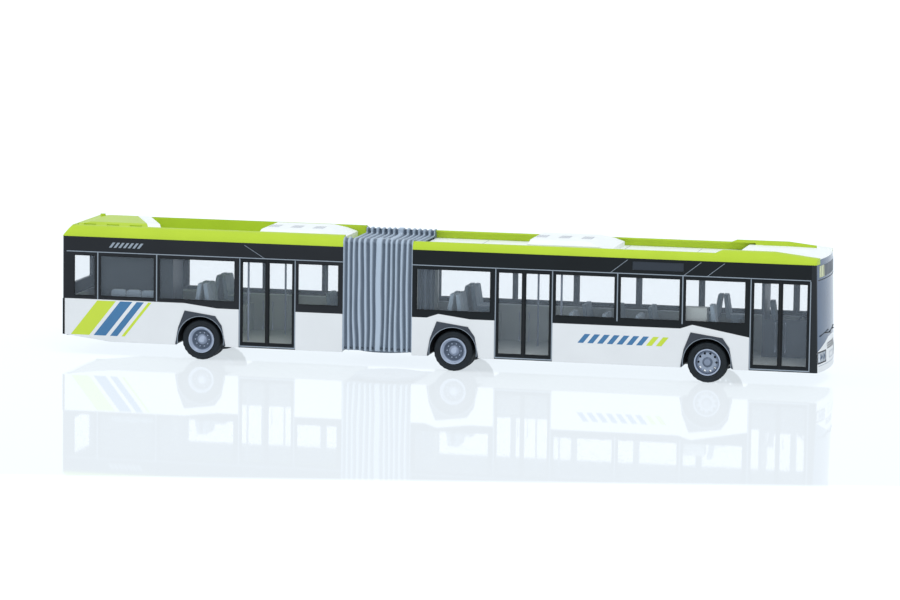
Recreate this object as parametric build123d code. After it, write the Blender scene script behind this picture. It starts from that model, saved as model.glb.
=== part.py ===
from build123d import *
import math
import os

# Articulated low-floor city bus, built as a 1:87 display model.
# Lengths are millimetres at the model's own size. X points forward, Y to the bus's left, Z up.
# The origin is on the ground under the middle of the whole bus.

# Length along the road, from nose to tail
FRONT_OVERHANG = 30.6
FRONT_WHEELBASE = 67.8
REAR_WHEELBASE = 69.0
REAR_OVERHANG = 38.5
PIVOT_BEHIND_AXLE = 20.6
CAR_GAP = 18.9

# Widths and heights of the body
BODY_WIDTH = 29.3
WALL = 0.9
SKIRT_Z = 3.9
WAIST_Z = 14.1
FASCIA_Z = 32.0
DECK_THICKNESS = 0.9
SHOULDER_RADIUS = 2.9
LOW_COAMING = 2.1
COAMING_WALL = 0.8

# Windows
WINDOW_SILL_Z = 16.0
WINDOW_HEAD_Z = 27.1
WINDOW_CORNER = 0.5
GLASS_THICKNESS = 0.4
GLASS_RECESS = 0.2
GLASS_EDGE = 1.2
PANE_PLAY = 0.05

# Doors
DOOR_HEAD_Z = 27.8
DOOR_RECESS = 0.15
DOOR_THICKNESS = 0.6
DOOR_FRAME = 0.8
DOOR_SILL = 1.3

# Floor, wheel boxes and bearings
FLOOR_BOTTOM_Z = 4.1
FLOOR_THICKNESS = 1.0
FLOOR_SIDE_GAP = 0.05
BOX_WALL = 0.6
BOX_SIDE_CLEARANCE = 1.0
BEARING_Y = 1.6
AXLE_PLAY = 0.08
AXLE_SLOT_PLAY = 0.4

# Wheels
TYRE_RADIUS = 5.4
TYRE_WIDTH = 3.2
TYRE_SHOULDER = 0.5
RIM_RADIUS = 3.5
RIM_LIP = 0.35
TWIN_GAP = 0.6
RIM_SEAT_PLAY = 0.02
AXLE_RADIUS = 0.8
WHEEL_INSET = 0.7
HUB_RADIUS = 1.25
HAND_HOLE_RADIUS = 0.32
HAND_HOLE_COUNT = 10
WHEEL_NUT_RADIUS = 0.16

# Wheel arches
ARCH_RADIUS = 6.5
ARCH_TRIM = 0.5
TRIM_PROUD = 0.15

# Bellows and turntable
FOLD_DEPTH = 0.75
FOLD_PITCH = 1.44
FOLDS_A_SIDE = 6
BELLOWS_SKIN = 0.45
BELLOWS_INSET = 0.2
BELLOWS_TOP_Z = 34.5
BELLOWS_EDGE = 3.4
BELLOWS_DISH_Z = 33.0
BELLOWS_BOTTOM_Z = 5.1
TURNTABLE_RADIUS = 9.2
TURNTABLE_Z = 3.4
TURNTABLE_THICKNESS = 0.7
TURNTABLE_NECK = 8.0
TURNTABLE_RISER = 1.5
DRAWBAR_THICKNESS = 0.6
DRAWBAR_WIDTH = 8.0
DRAWBAR_PLAY = 0.15
PIVOT_PIN_RADIUS = 1.5
PIVOT_PIN_PLAY = 0.08

# Nose
NOSE_LENGTH = 3.6
NOSE_BOW = 1.7
NOSE_CORNER = 0.75
NOSE_RAKE = 0.9
MASK_CORNER_Z = 9.3
MASK_CENTRE_Z = 12.4
MASK_TOP_Z = 33.2
MASK_FLAT_HALF = 4.0
CAP_ROUND = 1.2
CORNER_POST = 0.45

# One overrun serves every cut
OVERRUN = 1.0

# Places worked out from the driving sizes
LENGTH = FRONT_OVERHANG + FRONT_WHEELBASE + REAR_WHEELBASE + REAR_OVERHANG
NOSE_X = LENGTH / 2
TAIL_X = -NOSE_X
FRONT_AXLE_X = NOSE_X - FRONT_OVERHANG
MIDDLE_AXLE_X = FRONT_AXLE_X - FRONT_WHEELBASE
REAR_AXLE_X = MIDDLE_AXLE_X - REAR_WHEELBASE
PIVOT_X = MIDDLE_AXLE_X - PIVOT_BEHIND_AXLE
FRONT_CAR_END = PIVOT_X + CAR_GAP / 2
REAR_CAR_END = PIVOT_X - CAR_GAP / 2
HALF_WIDTH = BODY_WIDTH / 2
INNER_HALF = HALF_WIDTH - WALL
AXLE_Z = TYRE_RADIUS
FLOOR_TOP_Z = FLOOR_BOTTOM_Z + FLOOR_THICKNESS
NOSE_BACK_X = NOSE_X - NOSE_LENGTH
DECK_BOTTOM_Z = FASCIA_Z - DECK_THICKNESS
ROOF_TOP_Z = FASCIA_Z + SHOULDER_RADIUS
SIDES = (-1, 1)


def block(x_range, y_range, z_range):
    """A square block between two places on each axis."""
    lows = [min(pair) for pair in (x_range, y_range, z_range)]
    highs = [max(pair) for pair in (x_range, y_range, z_range)]
    sizes = [high - low for low, high in zip(lows, highs)]
    middle = Pos(*[(low + high) / 2 for low, high in zip(lows, highs)])
    return middle * Box(*sizes)


def side_plate(outline, y_from, y_to):
    """A flat plate whose outline is given in X and Z."""
    wire = Polyline(*[(x, min(y_from, y_to), z) for x, z in outline], close=True)
    return extrude(make_face(wire), amount=abs(y_to - y_from), dir=(0, 1, 0))


def cross_plate(outline, x_from, x_to):
    """A bar along X whose section is given in Y and Z."""
    wire = Polyline(*[(min(x_from, x_to), y, z) for y, z in outline], close=True)
    return extrude(make_face(wire), amount=abs(x_to - x_from), dir=(1, 0, 0))


def plan_plate(outline, z_from, z_to):
    """A flat plate whose outline is given in X and Y."""
    wire = Polyline(*[(x, y, min(z_from, z_to)) for x, y in outline], close=True)
    return extrude(make_face(wire), amount=abs(z_to - z_from), dir=(0, 0, 1))


def round_bar(x, z, radius, y_from, y_to):
    """A round bar that lies along Y."""
    middle = (y_from + y_to) / 2
    return Pos(x, middle, z) * Rot(X=90) * Cylinder(radius, abs(y_to - y_from))


def rounded_opening(x_range, z_range, y_range, corner):
    """A cutter for one window, with round corners seen from the side."""
    cutter = block(x_range, y_range, z_range)
    return fillet(cutter.edges().filter_by(Axis.Y), corner)


# Windows and doors as (first x, last x); right is the kerb side
PILLAR = 1.3
DOOR_WIDTH = 15.6
FRONT_DOOR_WIDTH = 16.0
DOOR_2_AHEAD_OF_ARCH = 4.1
DOOR_1_BACK = NOSE_BACK_X - FRONT_DOOR_WIDTH
DOOR_2_BACK = MIDDLE_AXLE_X + ARCH_RADIUS + ARCH_TRIM + DOOR_2_AHEAD_OF_ARCH

# The rear door leaves this share of the space between arch and bellows behind it
DOOR_3_BACK_SHARE = 0.214
DOOR_3_SPACE_X = REAR_AXLE_X + ARCH_RADIUS + ARCH_TRIM
DOOR_3_BACK = DOOR_3_SPACE_X + DOOR_3_BACK_SHARE * (REAR_CAR_END - DOOR_3_SPACE_X - DOOR_WIDTH)
DOOR_1_FRONT = NOSE_BACK_X
DOOR_2_FRONT = DOOR_2_BACK + DOOR_WIDTH
DOOR_3_FRONT = DOOR_3_BACK + DOOR_WIDTH
DOORS = {
    "front_door": (DOOR_1_BACK, DOOR_1_FRONT),
    "middle_door": (DOOR_2_BACK, DOOR_2_FRONT),
    "rear_door": (DOOR_3_BACK, DOOR_3_FRONT),
}

# Window runs as (first x, last x, number of panes)
END_PILLAR = 1.1
ONE_PANE_COUNT = 1
CAB_PANE_COUNT = 2
LONG_RUN_COUNT = 3
FRONT_KERB_RUNS = [
    (FRONT_CAR_END + END_PILLAR, DOOR_2_BACK - END_PILLAR, ONE_PANE_COUNT),
    (DOOR_2_FRONT + END_PILLAR / 2, DOOR_1_BACK - END_PILLAR, LONG_RUN_COUNT),
]
FRONT_ROAD_RUNS = [
    (FRONT_CAR_END + END_PILLAR, DOOR_2_BACK - END_PILLAR, ONE_PANE_COUNT),
    (DOOR_2_BACK, DOOR_2_FRONT, ONE_PANE_COUNT),
    (DOOR_2_FRONT + PILLAR, DOOR_1_BACK - END_PILLAR, LONG_RUN_COUNT),
    (DOOR_1_BACK + END_PILLAR / 2, NOSE_BACK_X - END_PILLAR / 2, CAB_PANE_COUNT),
]
TOWER_BEHIND_AXLE = 12.9
TAIL_PILLAR_INSET = 9.8
TAIL_PANE_INSET = 3.2
TOWER_FRONT_X = REAR_AXLE_X - TOWER_BEHIND_AXLE
TAIL_PILLAR_X = TAIL_X + TAIL_PILLAR_INSET
TAIL_PANE_X = TAIL_X + TAIL_PANE_INSET
REAR_KERB_PANES = [
    (TAIL_PANE_X, TAIL_PILLAR_X - PILLAR / 2),
    (TAIL_PILLAR_X + PILLAR / 2, TOWER_FRONT_X),
    (TOWER_FRONT_X + PILLAR, DOOR_3_BACK - END_PILLAR),
    (DOOR_3_FRONT + END_PILLAR / 2, REAR_CAR_END - END_PILLAR),
]
REAR_ROAD_PANES = [
    (TOWER_FRONT_X + PILLAR, DOOR_3_BACK - END_PILLAR),
    (DOOR_3_BACK, DOOR_3_FRONT),
    (DOOR_3_FRONT + PILLAR, REAR_CAR_END - END_PILLAR),
]


def split_run(first, last, panes):
    """Equal panes with a pillar between each two of them."""
    pane = (last - first - (panes - 1) * PILLAR) / panes
    return [(first + i * (pane + PILLAR), first + i * (pane + PILLAR) + pane) for i in range(panes)]


FRONT_KERB_PANES = [pane for run in FRONT_KERB_RUNS for pane in split_run(*run)]
FRONT_ROAD_PANES = [pane for run in FRONT_ROAD_RUNS for pane in split_run(*run)]

# The waist line between the white skirt and the dark band, tail to nose
WAIST_RISE = 1.1
NOSE_WAIST_DROP = 1.6
RISE_BEHIND_AXLE = 7.2
PEAK_BEHIND_AXLE = 4.0
FALL_AHEAD_OF_AXLE = 4.6
FRONT_WAIST = [
    (FRONT_CAR_END, WAIST_Z),
    (MIDDLE_AXLE_X - RISE_BEHIND_AXLE, WAIST_Z),
    (MIDDLE_AXLE_X - PEAK_BEHIND_AXLE, WAIST_Z + WAIST_RISE),
    (MIDDLE_AXLE_X + FALL_AHEAD_OF_AXLE, WAIST_Z),
    (FRONT_AXLE_X - RISE_BEHIND_AXLE, WAIST_Z),
    (FRONT_AXLE_X - PEAK_BEHIND_AXLE, WAIST_Z + WAIST_RISE),
    (DOOR_1_BACK, WAIST_Z - NOSE_WAIST_DROP),
    (NOSE_BACK_X, WAIST_Z - NOSE_WAIST_DROP),
]
TAIL_PLATE_X = TAIL_X + WALL
REAR_WAIST = [
    (TAIL_PLATE_X, WAIST_Z + WAIST_RISE),
    (REAR_AXLE_X - FALL_AHEAD_OF_AXLE, WAIST_Z + WAIST_RISE),
    (REAR_AXLE_X + FALL_AHEAD_OF_AXLE, WAIST_Z),
    (REAR_CAR_END, WAIST_Z),
]

# The tail's underside climbs behind this place
TAIL_RAMP = 13.4
TAIL_LIFT = 1.5
TAIL_RAMP_X = TAIL_X + TAIL_RAMP

# Outline of an arch trim as shares of the arch radius, from the hub
ARCH_OUTLINE_SHARES = [(-1.07, -0.2), (-0.95, 0.5), (-0.68, 1.2), (0.62, 1.02), (0.9, 0.63), (1.06, -0.2)]


def arch_outline(axle_x):
    """The five-sided outline of one wheel arch trim."""
    return [(axle_x + x * ARCH_RADIUS, AXLE_Z + z * ARCH_RADIUS) for x, z in ARCH_OUTLINE_SHARES]


def gather(shapes):
    """Every solid of several shapes, kept apart."""
    return Compound(children=[solid for shape in shapes for solid in shape.solids()])


def fused(shapes):
    """One shape from several that touch."""
    whole = shapes[0]
    for shape in shapes[1:]:
        whole += shape
    return whole


def arch_cutter(axle_x, y_from, y_to, radius=ARCH_RADIUS):
    """The round space over a wheel, open below."""
    low = block((axle_x - radius, axle_x + radius), (y_from, y_to), (AXLE_Z, -OVERRUN))
    return round_bar(axle_x, AXLE_Z, radius, y_from, y_to) + low


def wall_span(side, outer=0, inner=WALL):
    """The near and far Y of a layer in a side wall, measured in from the skin."""
    return side * (HALF_WIDTH - outer), side * (HALF_WIDTH - inner)


def skirt_walls(bottom, waist, axles, doors):
    """White lower walls of one car, with the arches and the kerb side's doors cut out."""
    walls = []
    for side in SIDES:
        cut = wall_span(side, -OVERRUN, WALL + OVERRUN)
        wall = side_plate(bottom + waist[::-1], *wall_span(side))
        for axle_x in axles:
            wall -= side_plate(arch_outline(axle_x) + [(axle_x, -OVERRUN)], *cut)
        if side < 0:
            for door in doors:
                wall -= block(door, cut, (0, DOOR_HEAD_Z))
        walls.append(wall)
    return walls


def window_band(waist, panes_by_side, doors):
    """Dark band between the waist and the roof, with its windows cut."""
    bands = []
    for side in SIDES:
        top = [(waist[-1][0], FASCIA_Z), (waist[0][0], FASCIA_Z)]
        band = side_plate(waist + top, *wall_span(side))
        cut = wall_span(side, -OVERRUN, WALL + OVERRUN)
        for pane in panes_by_side[side]:
            band -= rounded_opening(pane, (WINDOW_SILL_Z, WINDOW_HEAD_Z), cut, WINDOW_CORNER)
        if side < 0:
            for door in doors:
                band -= block(door, cut, (0, DOOR_HEAD_Z))
        bands.append(band)
    return bands


def glazing(panes_by_side, cabin):
    """Clear strips behind the band, with a raised pane in each window."""
    strips = []
    for side in SIDES:
        strip = None
        for first, last in panes_by_side[side]:
            flange_x = (max(first - GLASS_EDGE, cabin[0]), min(last + GLASS_EDGE, cabin[1]))
            flange_z = (WINDOW_SILL_Z - GLASS_EDGE / 2, WINDOW_HEAD_Z + GLASS_EDGE / 2)
            piece = block(flange_x, wall_span(side, WALL, WALL + GLASS_THICKNESS), flange_z)
            pane_x = (first + PANE_PLAY, last - PANE_PLAY)
            pane_z = (WINDOW_SILL_Z + PANE_PLAY, WINDOW_HEAD_Z - PANE_PLAY)
            pane_y = wall_span(side, GLASS_RECESS, WALL)
            piece += rounded_opening(pane_x, pane_z, pane_y, WINDOW_CORNER)
            strip = piece if strip is None else strip + piece
        strips.append(strip)
    return strips


def arch_trims(axle_x):
    """Dark trims round the two arches of one axle."""
    trims = []
    for side in SIDES:
        trim = side_plate(arch_outline(axle_x), *wall_span(side, -TRIM_PROUD, WALL))
        trim -= arch_cutter(axle_x, *wall_span(side, -OVERRUN, WALL + OVERRUN))
        trims.append(trim)
    return trims


def door_leaf_openings(door, y_range):
    """The two tall glass openings of one double door."""
    middle = (door[0] + door[1]) / 2
    height = (SKIRT_Z + DOOR_SILL, DOOR_HEAD_Z - DOOR_FRAME)
    back_leaf = (door[0] + DOOR_FRAME, middle - DOOR_FRAME / 2)
    front_leaf = (middle + DOOR_FRAME / 2, door[1] - DOOR_FRAME)
    return [(leaf, y_range, height) for leaf in (back_leaf, front_leaf)]


def door_frame(door):
    """One closed double door, without its glass."""
    span = (door[0] + PANE_PLAY, door[1] - PANE_PLAY)
    frame = block(span, wall_span(-1, DOOR_RECESS, DOOR_RECESS + DOOR_THICKNESS), (SKIRT_Z, DOOR_HEAD_Z))
    for opening in door_leaf_openings(span, wall_span(-1, -OVERRUN, WALL + OVERRUN)):
        frame -= block(*opening)
    return frame


def door_glass(doors):
    """The tall panes of a car's doors."""
    panes = []
    for door in doors:
        span = (door[0] + PANE_PLAY, door[1] - PANE_PLAY)
        layer = wall_span(-1, DOOR_RECESS + GLASS_RECESS, DOOR_RECESS + DOOR_THICKNESS)
        panes += [block(*opening) for opening in door_leaf_openings(span, layer)]
    return panes


# Coamings, deck and roof units
LOW_INNER = 1.75
STEP_LENGTH = 1.7
STEP_AHEAD_OF_AXLE = 1.5
STEP_X = FRONT_AXLE_X + STEP_AHEAD_OF_AXLE
TAIL_SLOPE = 2.2
COVER_AHEAD_OF_AXLE = 8.1
COVER_SLOPE = 0.9
COVER_SINK = 1.25
COVER_FALL = 0.35
COVER_BACK_X = FRONT_AXLE_X + COVER_AHEAD_OF_AXLE
COVER_TOP_Z = ROOF_TOP_Z - COVER_SINK
COVER_HALF = HALF_WIDTH - SHOULDER_RADIUS - PANE_PLAY
EDGE_FALL = 1.5
FALL_AHEAD_OF_FRONT_AXLE = 17.0
FALL_X = FRONT_AXLE_X + FALL_AHEAD_OF_FRONT_AXLE
EDGE_HEIGHTS = [
    (COVER_BACK_X, SHOULDER_RADIUS), (FALL_X, SHOULDER_RADIUS), (NOSE_X, SHOULDER_RADIUS - EDGE_FALL),
]
UNIT_LENGTH = 22.2
UNIT_SIDE_GAP = 0.55
UNIT_SHOULDER = 2.7
UNIT_HALF_WIDTH = HALF_WIDTH - SHOULDER_RADIUS - UNIT_SIDE_GAP
UNIT_TOP_HALF = UNIT_HALF_WIDTH - UNIT_SHOULDER
UNIT_TOP_Z = 35.2
UNIT_SIDE_Z = 34.2
UNIT_NOSE = 5.8
UNIT_NOSE_DROP = 1.9
UNIT_BACK_LEAN = 0.6
UNIT_BEHIND_FRONT_AXLE = 49.2
UNIT_BEHIND_BELLOWS = 2.35
FRONT_UNIT_X = FRONT_AXLE_X - UNIT_BEHIND_FRONT_AXLE
REAR_UNIT_X = REAR_CAR_END - UNIT_BEHIND_BELLOWS - UNIT_LENGTH
GRILLE_LENGTH = 3.0
GRILLE_HALF_WIDTH = 3.0
GRILLE_PITCH = 6.1
GRILLE_DEPTH = 0.4
GRILLE_BAR = 0.35
GRILLE_BAR_COUNT = 4
GRILLE_ROWS = (-1, 0, 1)


def coaming(side, x_from, x_to):
    """Rounded roof edge along one side."""
    centre = (side * (HALF_WIDTH - SHOULDER_RADIUS), FASCIA_Z)
    length = x_to - x_from
    middle = Pos((x_from + x_to) / 2, *centre) * Rot(Y=90)
    ring = middle * (Cylinder(SHOULDER_RADIUS, length) - Cylinder(SHOULDER_RADIUS - COAMING_WALL, length))
    outside = (centre[0], side * (HALF_WIDTH + OVERRUN))
    return ring & block((x_from, x_to), outside, (FASCIA_Z, ROOF_TOP_Z + OVERRUN))


def low_stretch(side, profile):
    """Cutter that lowers a coaming along a stretch whose side view is given."""
    upper = side_plate(profile, 0, side * (HALF_WIDTH + OVERRUN))
    places = [x for x, z in profile]
    inner_y = (0, side * (HALF_WIDTH - LOW_INNER))
    inner = block((min(places), max(places) - STEP_LENGTH), inner_y, (FASCIA_Z, ROOF_TOP_Z + OVERRUN))
    return upper + inner


def edge_section(side, x, height):
    """Solid quarter section of a roof edge at one place along the bus."""
    corner = (x, side * (HALF_WIDTH - SHOULDER_RADIUS), FASCIA_Z)
    plane = Plane(corner, x_dir=(0, side, 0), z_dir=(side, 0, 0))
    curve = EllipticalCenterArc((0, 0), SHOULDER_RADIUS, height, start_angle=0, arc_size=90)
    return plane * make_face([Line((0, 0), (SHOULDER_RADIUS, 0)), curve, Line((0, height), (0, 0))])


def falling_edge(side):
    """Solid roof edge beside the front cover, falling towards the nose."""
    edge = loft([edge_section(side, x, height) for x, height in EDGE_HEIGHTS], ruled=True)
    wide = HALF_WIDTH + OVERRUN
    ahead = block((NOSE_BACK_X, NOSE_X + OVERRUN), (-wide, wide), (FASCIA_Z, ROOF_TOP_Z + OVERRUN))
    plan = nose_plan(0, FASCIA_Z, NOSE_BACK_X - OVERRUN)
    return edge - (ahead - extrude(plan, amount=SHOULDER_RADIUS + OVERRUN, dir=(0, 0, 1)))


def front_coamings():
    """Green roof edges of the front car, low behind the front axle."""
    top = ROOF_TOP_Z + OVERRUN
    low = FASCIA_Z + LOW_COAMING
    back = FRONT_CAR_END - OVERRUN
    high_x = STEP_X + STEP_LENGTH
    profile = [(back, low), (STEP_X, low), (high_x, ROOF_TOP_Z), (high_x, top), (back, top)]
    edges = []
    for side in SIDES:
        edge = coaming(side, FRONT_CAR_END, COVER_BACK_X) - low_stretch(side, profile)
        edges.append(edge + falling_edge(side))
    return gather(edges)


def rear_coamings():
    """Green roof edges of the rear car, joined across the sloping tail."""
    edges = coaming(-1, TAIL_X, REAR_CAR_END) + coaming(1, TAIL_X, REAR_CAR_END)
    half = HALF_WIDTH - SHOULDER_RADIUS
    slope_x = TAIL_X + TAIL_SLOPE
    slope = [
        (TAIL_X, FASCIA_Z), (slope_x, ROOF_TOP_Z),
        (slope_x + COAMING_WALL, ROOF_TOP_Z), (TAIL_X + COAMING_WALL, FASCIA_Z),
    ]
    edges += side_plate(slope, -half - COAMING_WALL, half + COAMING_WALL)
    top = ROOF_TOP_Z + OVERRUN
    back = TAIL_X - OVERRUN
    behind = [(back, FASCIA_Z), (TAIL_X, FASCIA_Z), (slope_x, ROOF_TOP_Z), (slope_x, top), (back, top)]
    return edges - side_plate(behind, -HALF_WIDTH - OVERRUN, HALF_WIDTH + OVERRUN)


def deck(x_from, x_to):
    """Roof deck that lies between the two side bands."""
    return block((x_from, x_to), (-INNER_HALF, INNER_HALF), (DECK_BOTTOM_Z, FASCIA_Z))


def unit_section(half_width, top_half, side_z, top_z):
    """Section across a roof unit with sloping shoulders."""
    return [
        (-half_width, FASCIA_Z), (-half_width, side_z), (-top_half, top_z),
        (top_half, top_z), (half_width, side_z), (half_width, FASCIA_Z),
    ]


def air_unit(back_x):
    """Air conditioning unit with a sloping nose and three grilles."""
    front_x = back_x + UNIT_LENGTH
    outline = [
        (back_x, FASCIA_Z), (back_x + UNIT_BACK_LEAN, UNIT_TOP_Z), (front_x - UNIT_NOSE, UNIT_TOP_Z),
        (front_x, UNIT_TOP_Z - UNIT_NOSE_DROP), (front_x, FASCIA_Z),
    ]
    unit = side_plate(outline, -UNIT_HALF_WIDTH, UNIT_HALF_WIDTH)
    section = unit_section(UNIT_HALF_WIDTH, UNIT_TOP_HALF, UNIT_SIDE_Z, UNIT_TOP_Z)
    unit = unit & cross_plate(section, back_x, front_x)
    top_middle = (back_x + UNIT_BACK_LEAN + front_x - UNIT_NOSE) / 2
    bar_pitch = GRILLE_LENGTH / GRILLE_BAR_COUNT
    for i in GRILLE_ROWS:
        grille_back = top_middle + i * GRILLE_PITCH - GRILLE_LENGTH / 2
        for j in range(GRILLE_BAR_COUNT):
            slot_x = (grille_back + j * bar_pitch, grille_back + (j + 1) * bar_pitch - GRILLE_BAR)
            slot_z = (UNIT_TOP_Z - GRILLE_DEPTH, UNIT_TOP_Z + OVERRUN)
            unit -= block(slot_x, (-GRILLE_HALF_WIDTH, GRILLE_HALF_WIDTH), slot_z)
    return unit


# Rear hood and the slanting band ahead of it
HOOD_BEHIND_AXLE = 15.6
HOOD_BACK_X = TAIL_X + TAIL_SLOPE + COAMING_WALL
HOOD_KERB_X = REAR_AXLE_X - HOOD_BEHIND_AXLE
HOOD_SLANT = 10.0
HOOD_TOP_Z = 35.4
HOOD_SIDE_Z = 34.3
HOOD_LEAN = 3.0
HOOD_LIP_Z = ROOF_TOP_Z
RAMP_LENGTH = 3.6
HOOD_SLOT_WIDTH = 0.8
HOOD_SLOT_DEPTH = 0.5
HOOD_SLOT_Y = UNIT_TOP_HALF + HOOD_LEAN / 3
HOOD_SLOT_COUNT = 3
HOOD_SLOT_LENGTH = 3.4
HOOD_SLOT_PITCH = 6.4
NUB_RADIUS = 0.7
NUB_HEIGHT = 0.7


def hood_plan(back_kerb, back_road, front_kerb, front_road):
    """Four-sided plan of a roof piece whose ends may slant."""
    half = UNIT_HALF_WIDTH
    return [(back_kerb, -half), (front_kerb, -half), (front_road, half), (back_road, half)]


def rear_hood():
    """Raised hood at the tail, with a slanting front end and three slots a side."""
    front_road = HOOD_KERB_X - HOOD_SLANT
    plan = hood_plan(HOOD_BACK_X, HOOD_BACK_X, HOOD_KERB_X, front_road)
    hood = plan_plate(plan, FASCIA_Z, HOOD_TOP_Z)
    section = unit_section(UNIT_HALF_WIDTH, UNIT_TOP_HALF, HOOD_SIDE_Z, HOOD_TOP_Z)
    hood = hood & cross_plate(section, HOOD_BACK_X, HOOD_KERB_X)
    top = HOOD_TOP_Z + OVERRUN
    back = HOOD_BACK_X - OVERRUN
    lean = [(back, HOOD_LIP_Z), (HOOD_BACK_X, HOOD_LIP_Z), (HOOD_BACK_X + HOOD_LEAN, HOOD_TOP_Z)]
    lean += [(HOOD_BACK_X + HOOD_LEAN, top), (back, top)]
    hood -= side_plate(lean, -HALF_WIDTH, HALF_WIDTH)
    for side in SIDES:
        for i in range(HOOD_SLOT_COUNT):
            slot_back = HOOD_BACK_X + HOOD_LEAN / 2 + i * HOOD_SLOT_PITCH
            if side > 0 and slot_back + HOOD_SLOT_LENGTH > front_road:
                continue
            slot_x = (slot_back, slot_back + HOOD_SLOT_LENGTH)
            slot_y = (side * HOOD_SLOT_Y, side * (HOOD_SLOT_Y + HOOD_SLOT_WIDTH))
            slot_floor = (HOOD_TOP_Z + HOOD_SIDE_Z) / 2 - HOOD_SLOT_DEPTH
            hood -= block(slot_x, slot_y, (slot_floor, HOOD_TOP_Z))
    nub = Cylinder(NUB_RADIUS, NUB_HEIGHT)
    return hood + Pos(HOOD_BACK_X + 2 * NUB_RADIUS, UNIT_TOP_HALF - NUB_RADIUS, HOOD_TOP_Z) * nub


def hood_band():
    """White slanting band between the rear hood and the roof well."""
    road = HOOD_KERB_X - HOOD_SLANT
    plan = hood_plan(HOOD_KERB_X, road, HOOD_KERB_X + RAMP_LENGTH, road + RAMP_LENGTH)
    band = plan_plate(plan, FASCIA_Z, HOOD_TOP_Z)
    section = unit_section(UNIT_HALF_WIDTH, UNIT_TOP_HALF, HOOD_SIDE_Z, HOOD_TOP_Z)
    return band & cross_plate(section, road, HOOD_KERB_X + RAMP_LENGTH)


def roof_turn(z):
    """How far the roof's edge has turned in at a height, from none at the fascia to one at the top."""
    rise = max(z - FASCIA_Z, 0) / SHOULDER_RADIUS
    return 1 - math.sqrt(max(1 - rise * rise, 0))


def nose_plan(depth, z, back_x):
    """Plan of the bowed nose at one height, drawn in by a wall."""
    rake = NOSE_RAKE * (z - SKIRT_Z) / (ROOF_TOP_Z - SKIRT_Z)
    front = NOSE_X - rake - depth - CAP_ROUND * roof_turn(z)
    half = HALF_WIDTH - depth - SHOULDER_RADIUS * roof_turn(z)
    corner = front - NOSE_BOW * (half / HALF_WIDTH) ** 2
    sides = [Line((back_x, half, z), (back_x, -half, z)), Line((back_x, -half, z), (corner, -half, z))]
    bow = ThreePointArc((corner, -half, z), (front, 0, z), (corner, half, z))
    sides += [bow, Line((corner, half, z), (back_x, half, z))]
    face = make_face(sides)
    corners = [v for v in face.vertices() if v.X > back_x + PANE_PLAY]
    return fillet(corners, NOSE_CORNER)


def nose_form(depth, heights, back_x):
    """Solid form of the nose through several heights."""
    return loft([nose_plan(depth, z, back_x) for z in heights], ruled=True)


def nose_skin(depth):
    """Curved layer of the whole nose, as deep as given, up to the top of the screen."""
    heights = (SKIRT_Z, FASCIA_Z, MASK_TOP_Z)
    return nose_form(0, heights, NOSE_BACK_X) - nose_form(depth, heights, NOSE_BACK_X - OVERRUN)


def roof_corners():
    """Cutter over both ends of the green roof edges, where they run on into the nose."""
    x_range = (NOSE_BACK_X - OVERRUN, NOSE_X + OVERRUN)
    y_ranges = [(side * COVER_HALF, side * (HALF_WIDTH + OVERRUN)) for side in SIDES]
    return fused([block(x_range, y_range, (FASCIA_Z, ROOF_TOP_Z)) for y_range in y_ranges])


def mask_region():
    """Everything above the screen's lower edge, and the dark corner post ahead of the door."""
    wide = HALF_WIDTH + OVERRUN
    top = ROOF_TOP_Z + OVERRUN
    outline = [
        (-wide, 0), (CORNER_POST - HALF_WIDTH, 0), (CORNER_POST - HALF_WIDTH, MASK_CORNER_Z),
        (-MASK_FLAT_HALF, MASK_CENTRE_Z), (MASK_FLAT_HALF, MASK_CENTRE_Z),
        (wide, MASK_CORNER_Z), (wide, top), (-wide, top),
    ]
    return cross_plate(outline, NOSE_BACK_X - OVERRUN, NOSE_X + OVERRUN)


LAMP_Z = (6.4, 9.0)
LAMP_WIDTH = 7.4
LAMP_OUTER_INSET = 0.8
LAMP_INNER_Y = HALF_WIDTH - LAMP_WIDTH
LAMP_OUTER_Y = HALF_WIDTH - LAMP_OUTER_INSET
LAMP_DEPTH = 0.35
LAMP_PLAY = 0.03


def lamp_region(play):
    """Boxes over the two headlamps, seen from the front."""
    low, high = LAMP_Z
    regions = None
    for side in SIDES:
        y_range = (side * (LAMP_INNER_Y + play), side * (LAMP_OUTER_Y - play))
        region = block((NOSE_BACK_X + WALL, NOSE_X + OVERRUN), y_range, (low + play, high - play))
        regions = region if regions is None else regions + region
    return regions


def front_panel(shell):
    """White lower panel of the nose, with its lamp recesses."""
    return shell - mask_region() - (lamp_region(0) & nose_skin(LAMP_DEPTH))


def headlamps():
    """Two clear lamps that follow the nose."""
    lamps = lamp_region(LAMP_PLAY) & nose_skin(LAMP_DEPTH - LAMP_PLAY)
    return Compound(children=list(lamps.solids()))


def roof_cover():
    """White cover over the front of the roof, let in between the green edges."""
    cover = nose_form(0, (MASK_TOP_Z, COVER_TOP_Z), NOSE_BACK_X) - roof_corners()
    cover += block((COVER_BACK_X, NOSE_BACK_X), (-COVER_HALF, COVER_HALF), (FASCIA_Z, COVER_TOP_Z))
    top = ROOF_TOP_Z + OVERRUN
    back = COVER_BACK_X - OVERRUN
    nose = NOSE_X + OVERRUN
    above = [
        (back, FASCIA_Z), (COVER_BACK_X, FASCIA_Z), (COVER_BACK_X + COVER_SLOPE, COVER_TOP_Z),
        (FALL_X, COVER_TOP_Z), (nose, COVER_TOP_Z - COVER_FALL), (nose, top), (back, top),
    ]
    return cover - side_plate(above, -HALF_WIDTH, HALF_WIDTH)


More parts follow.
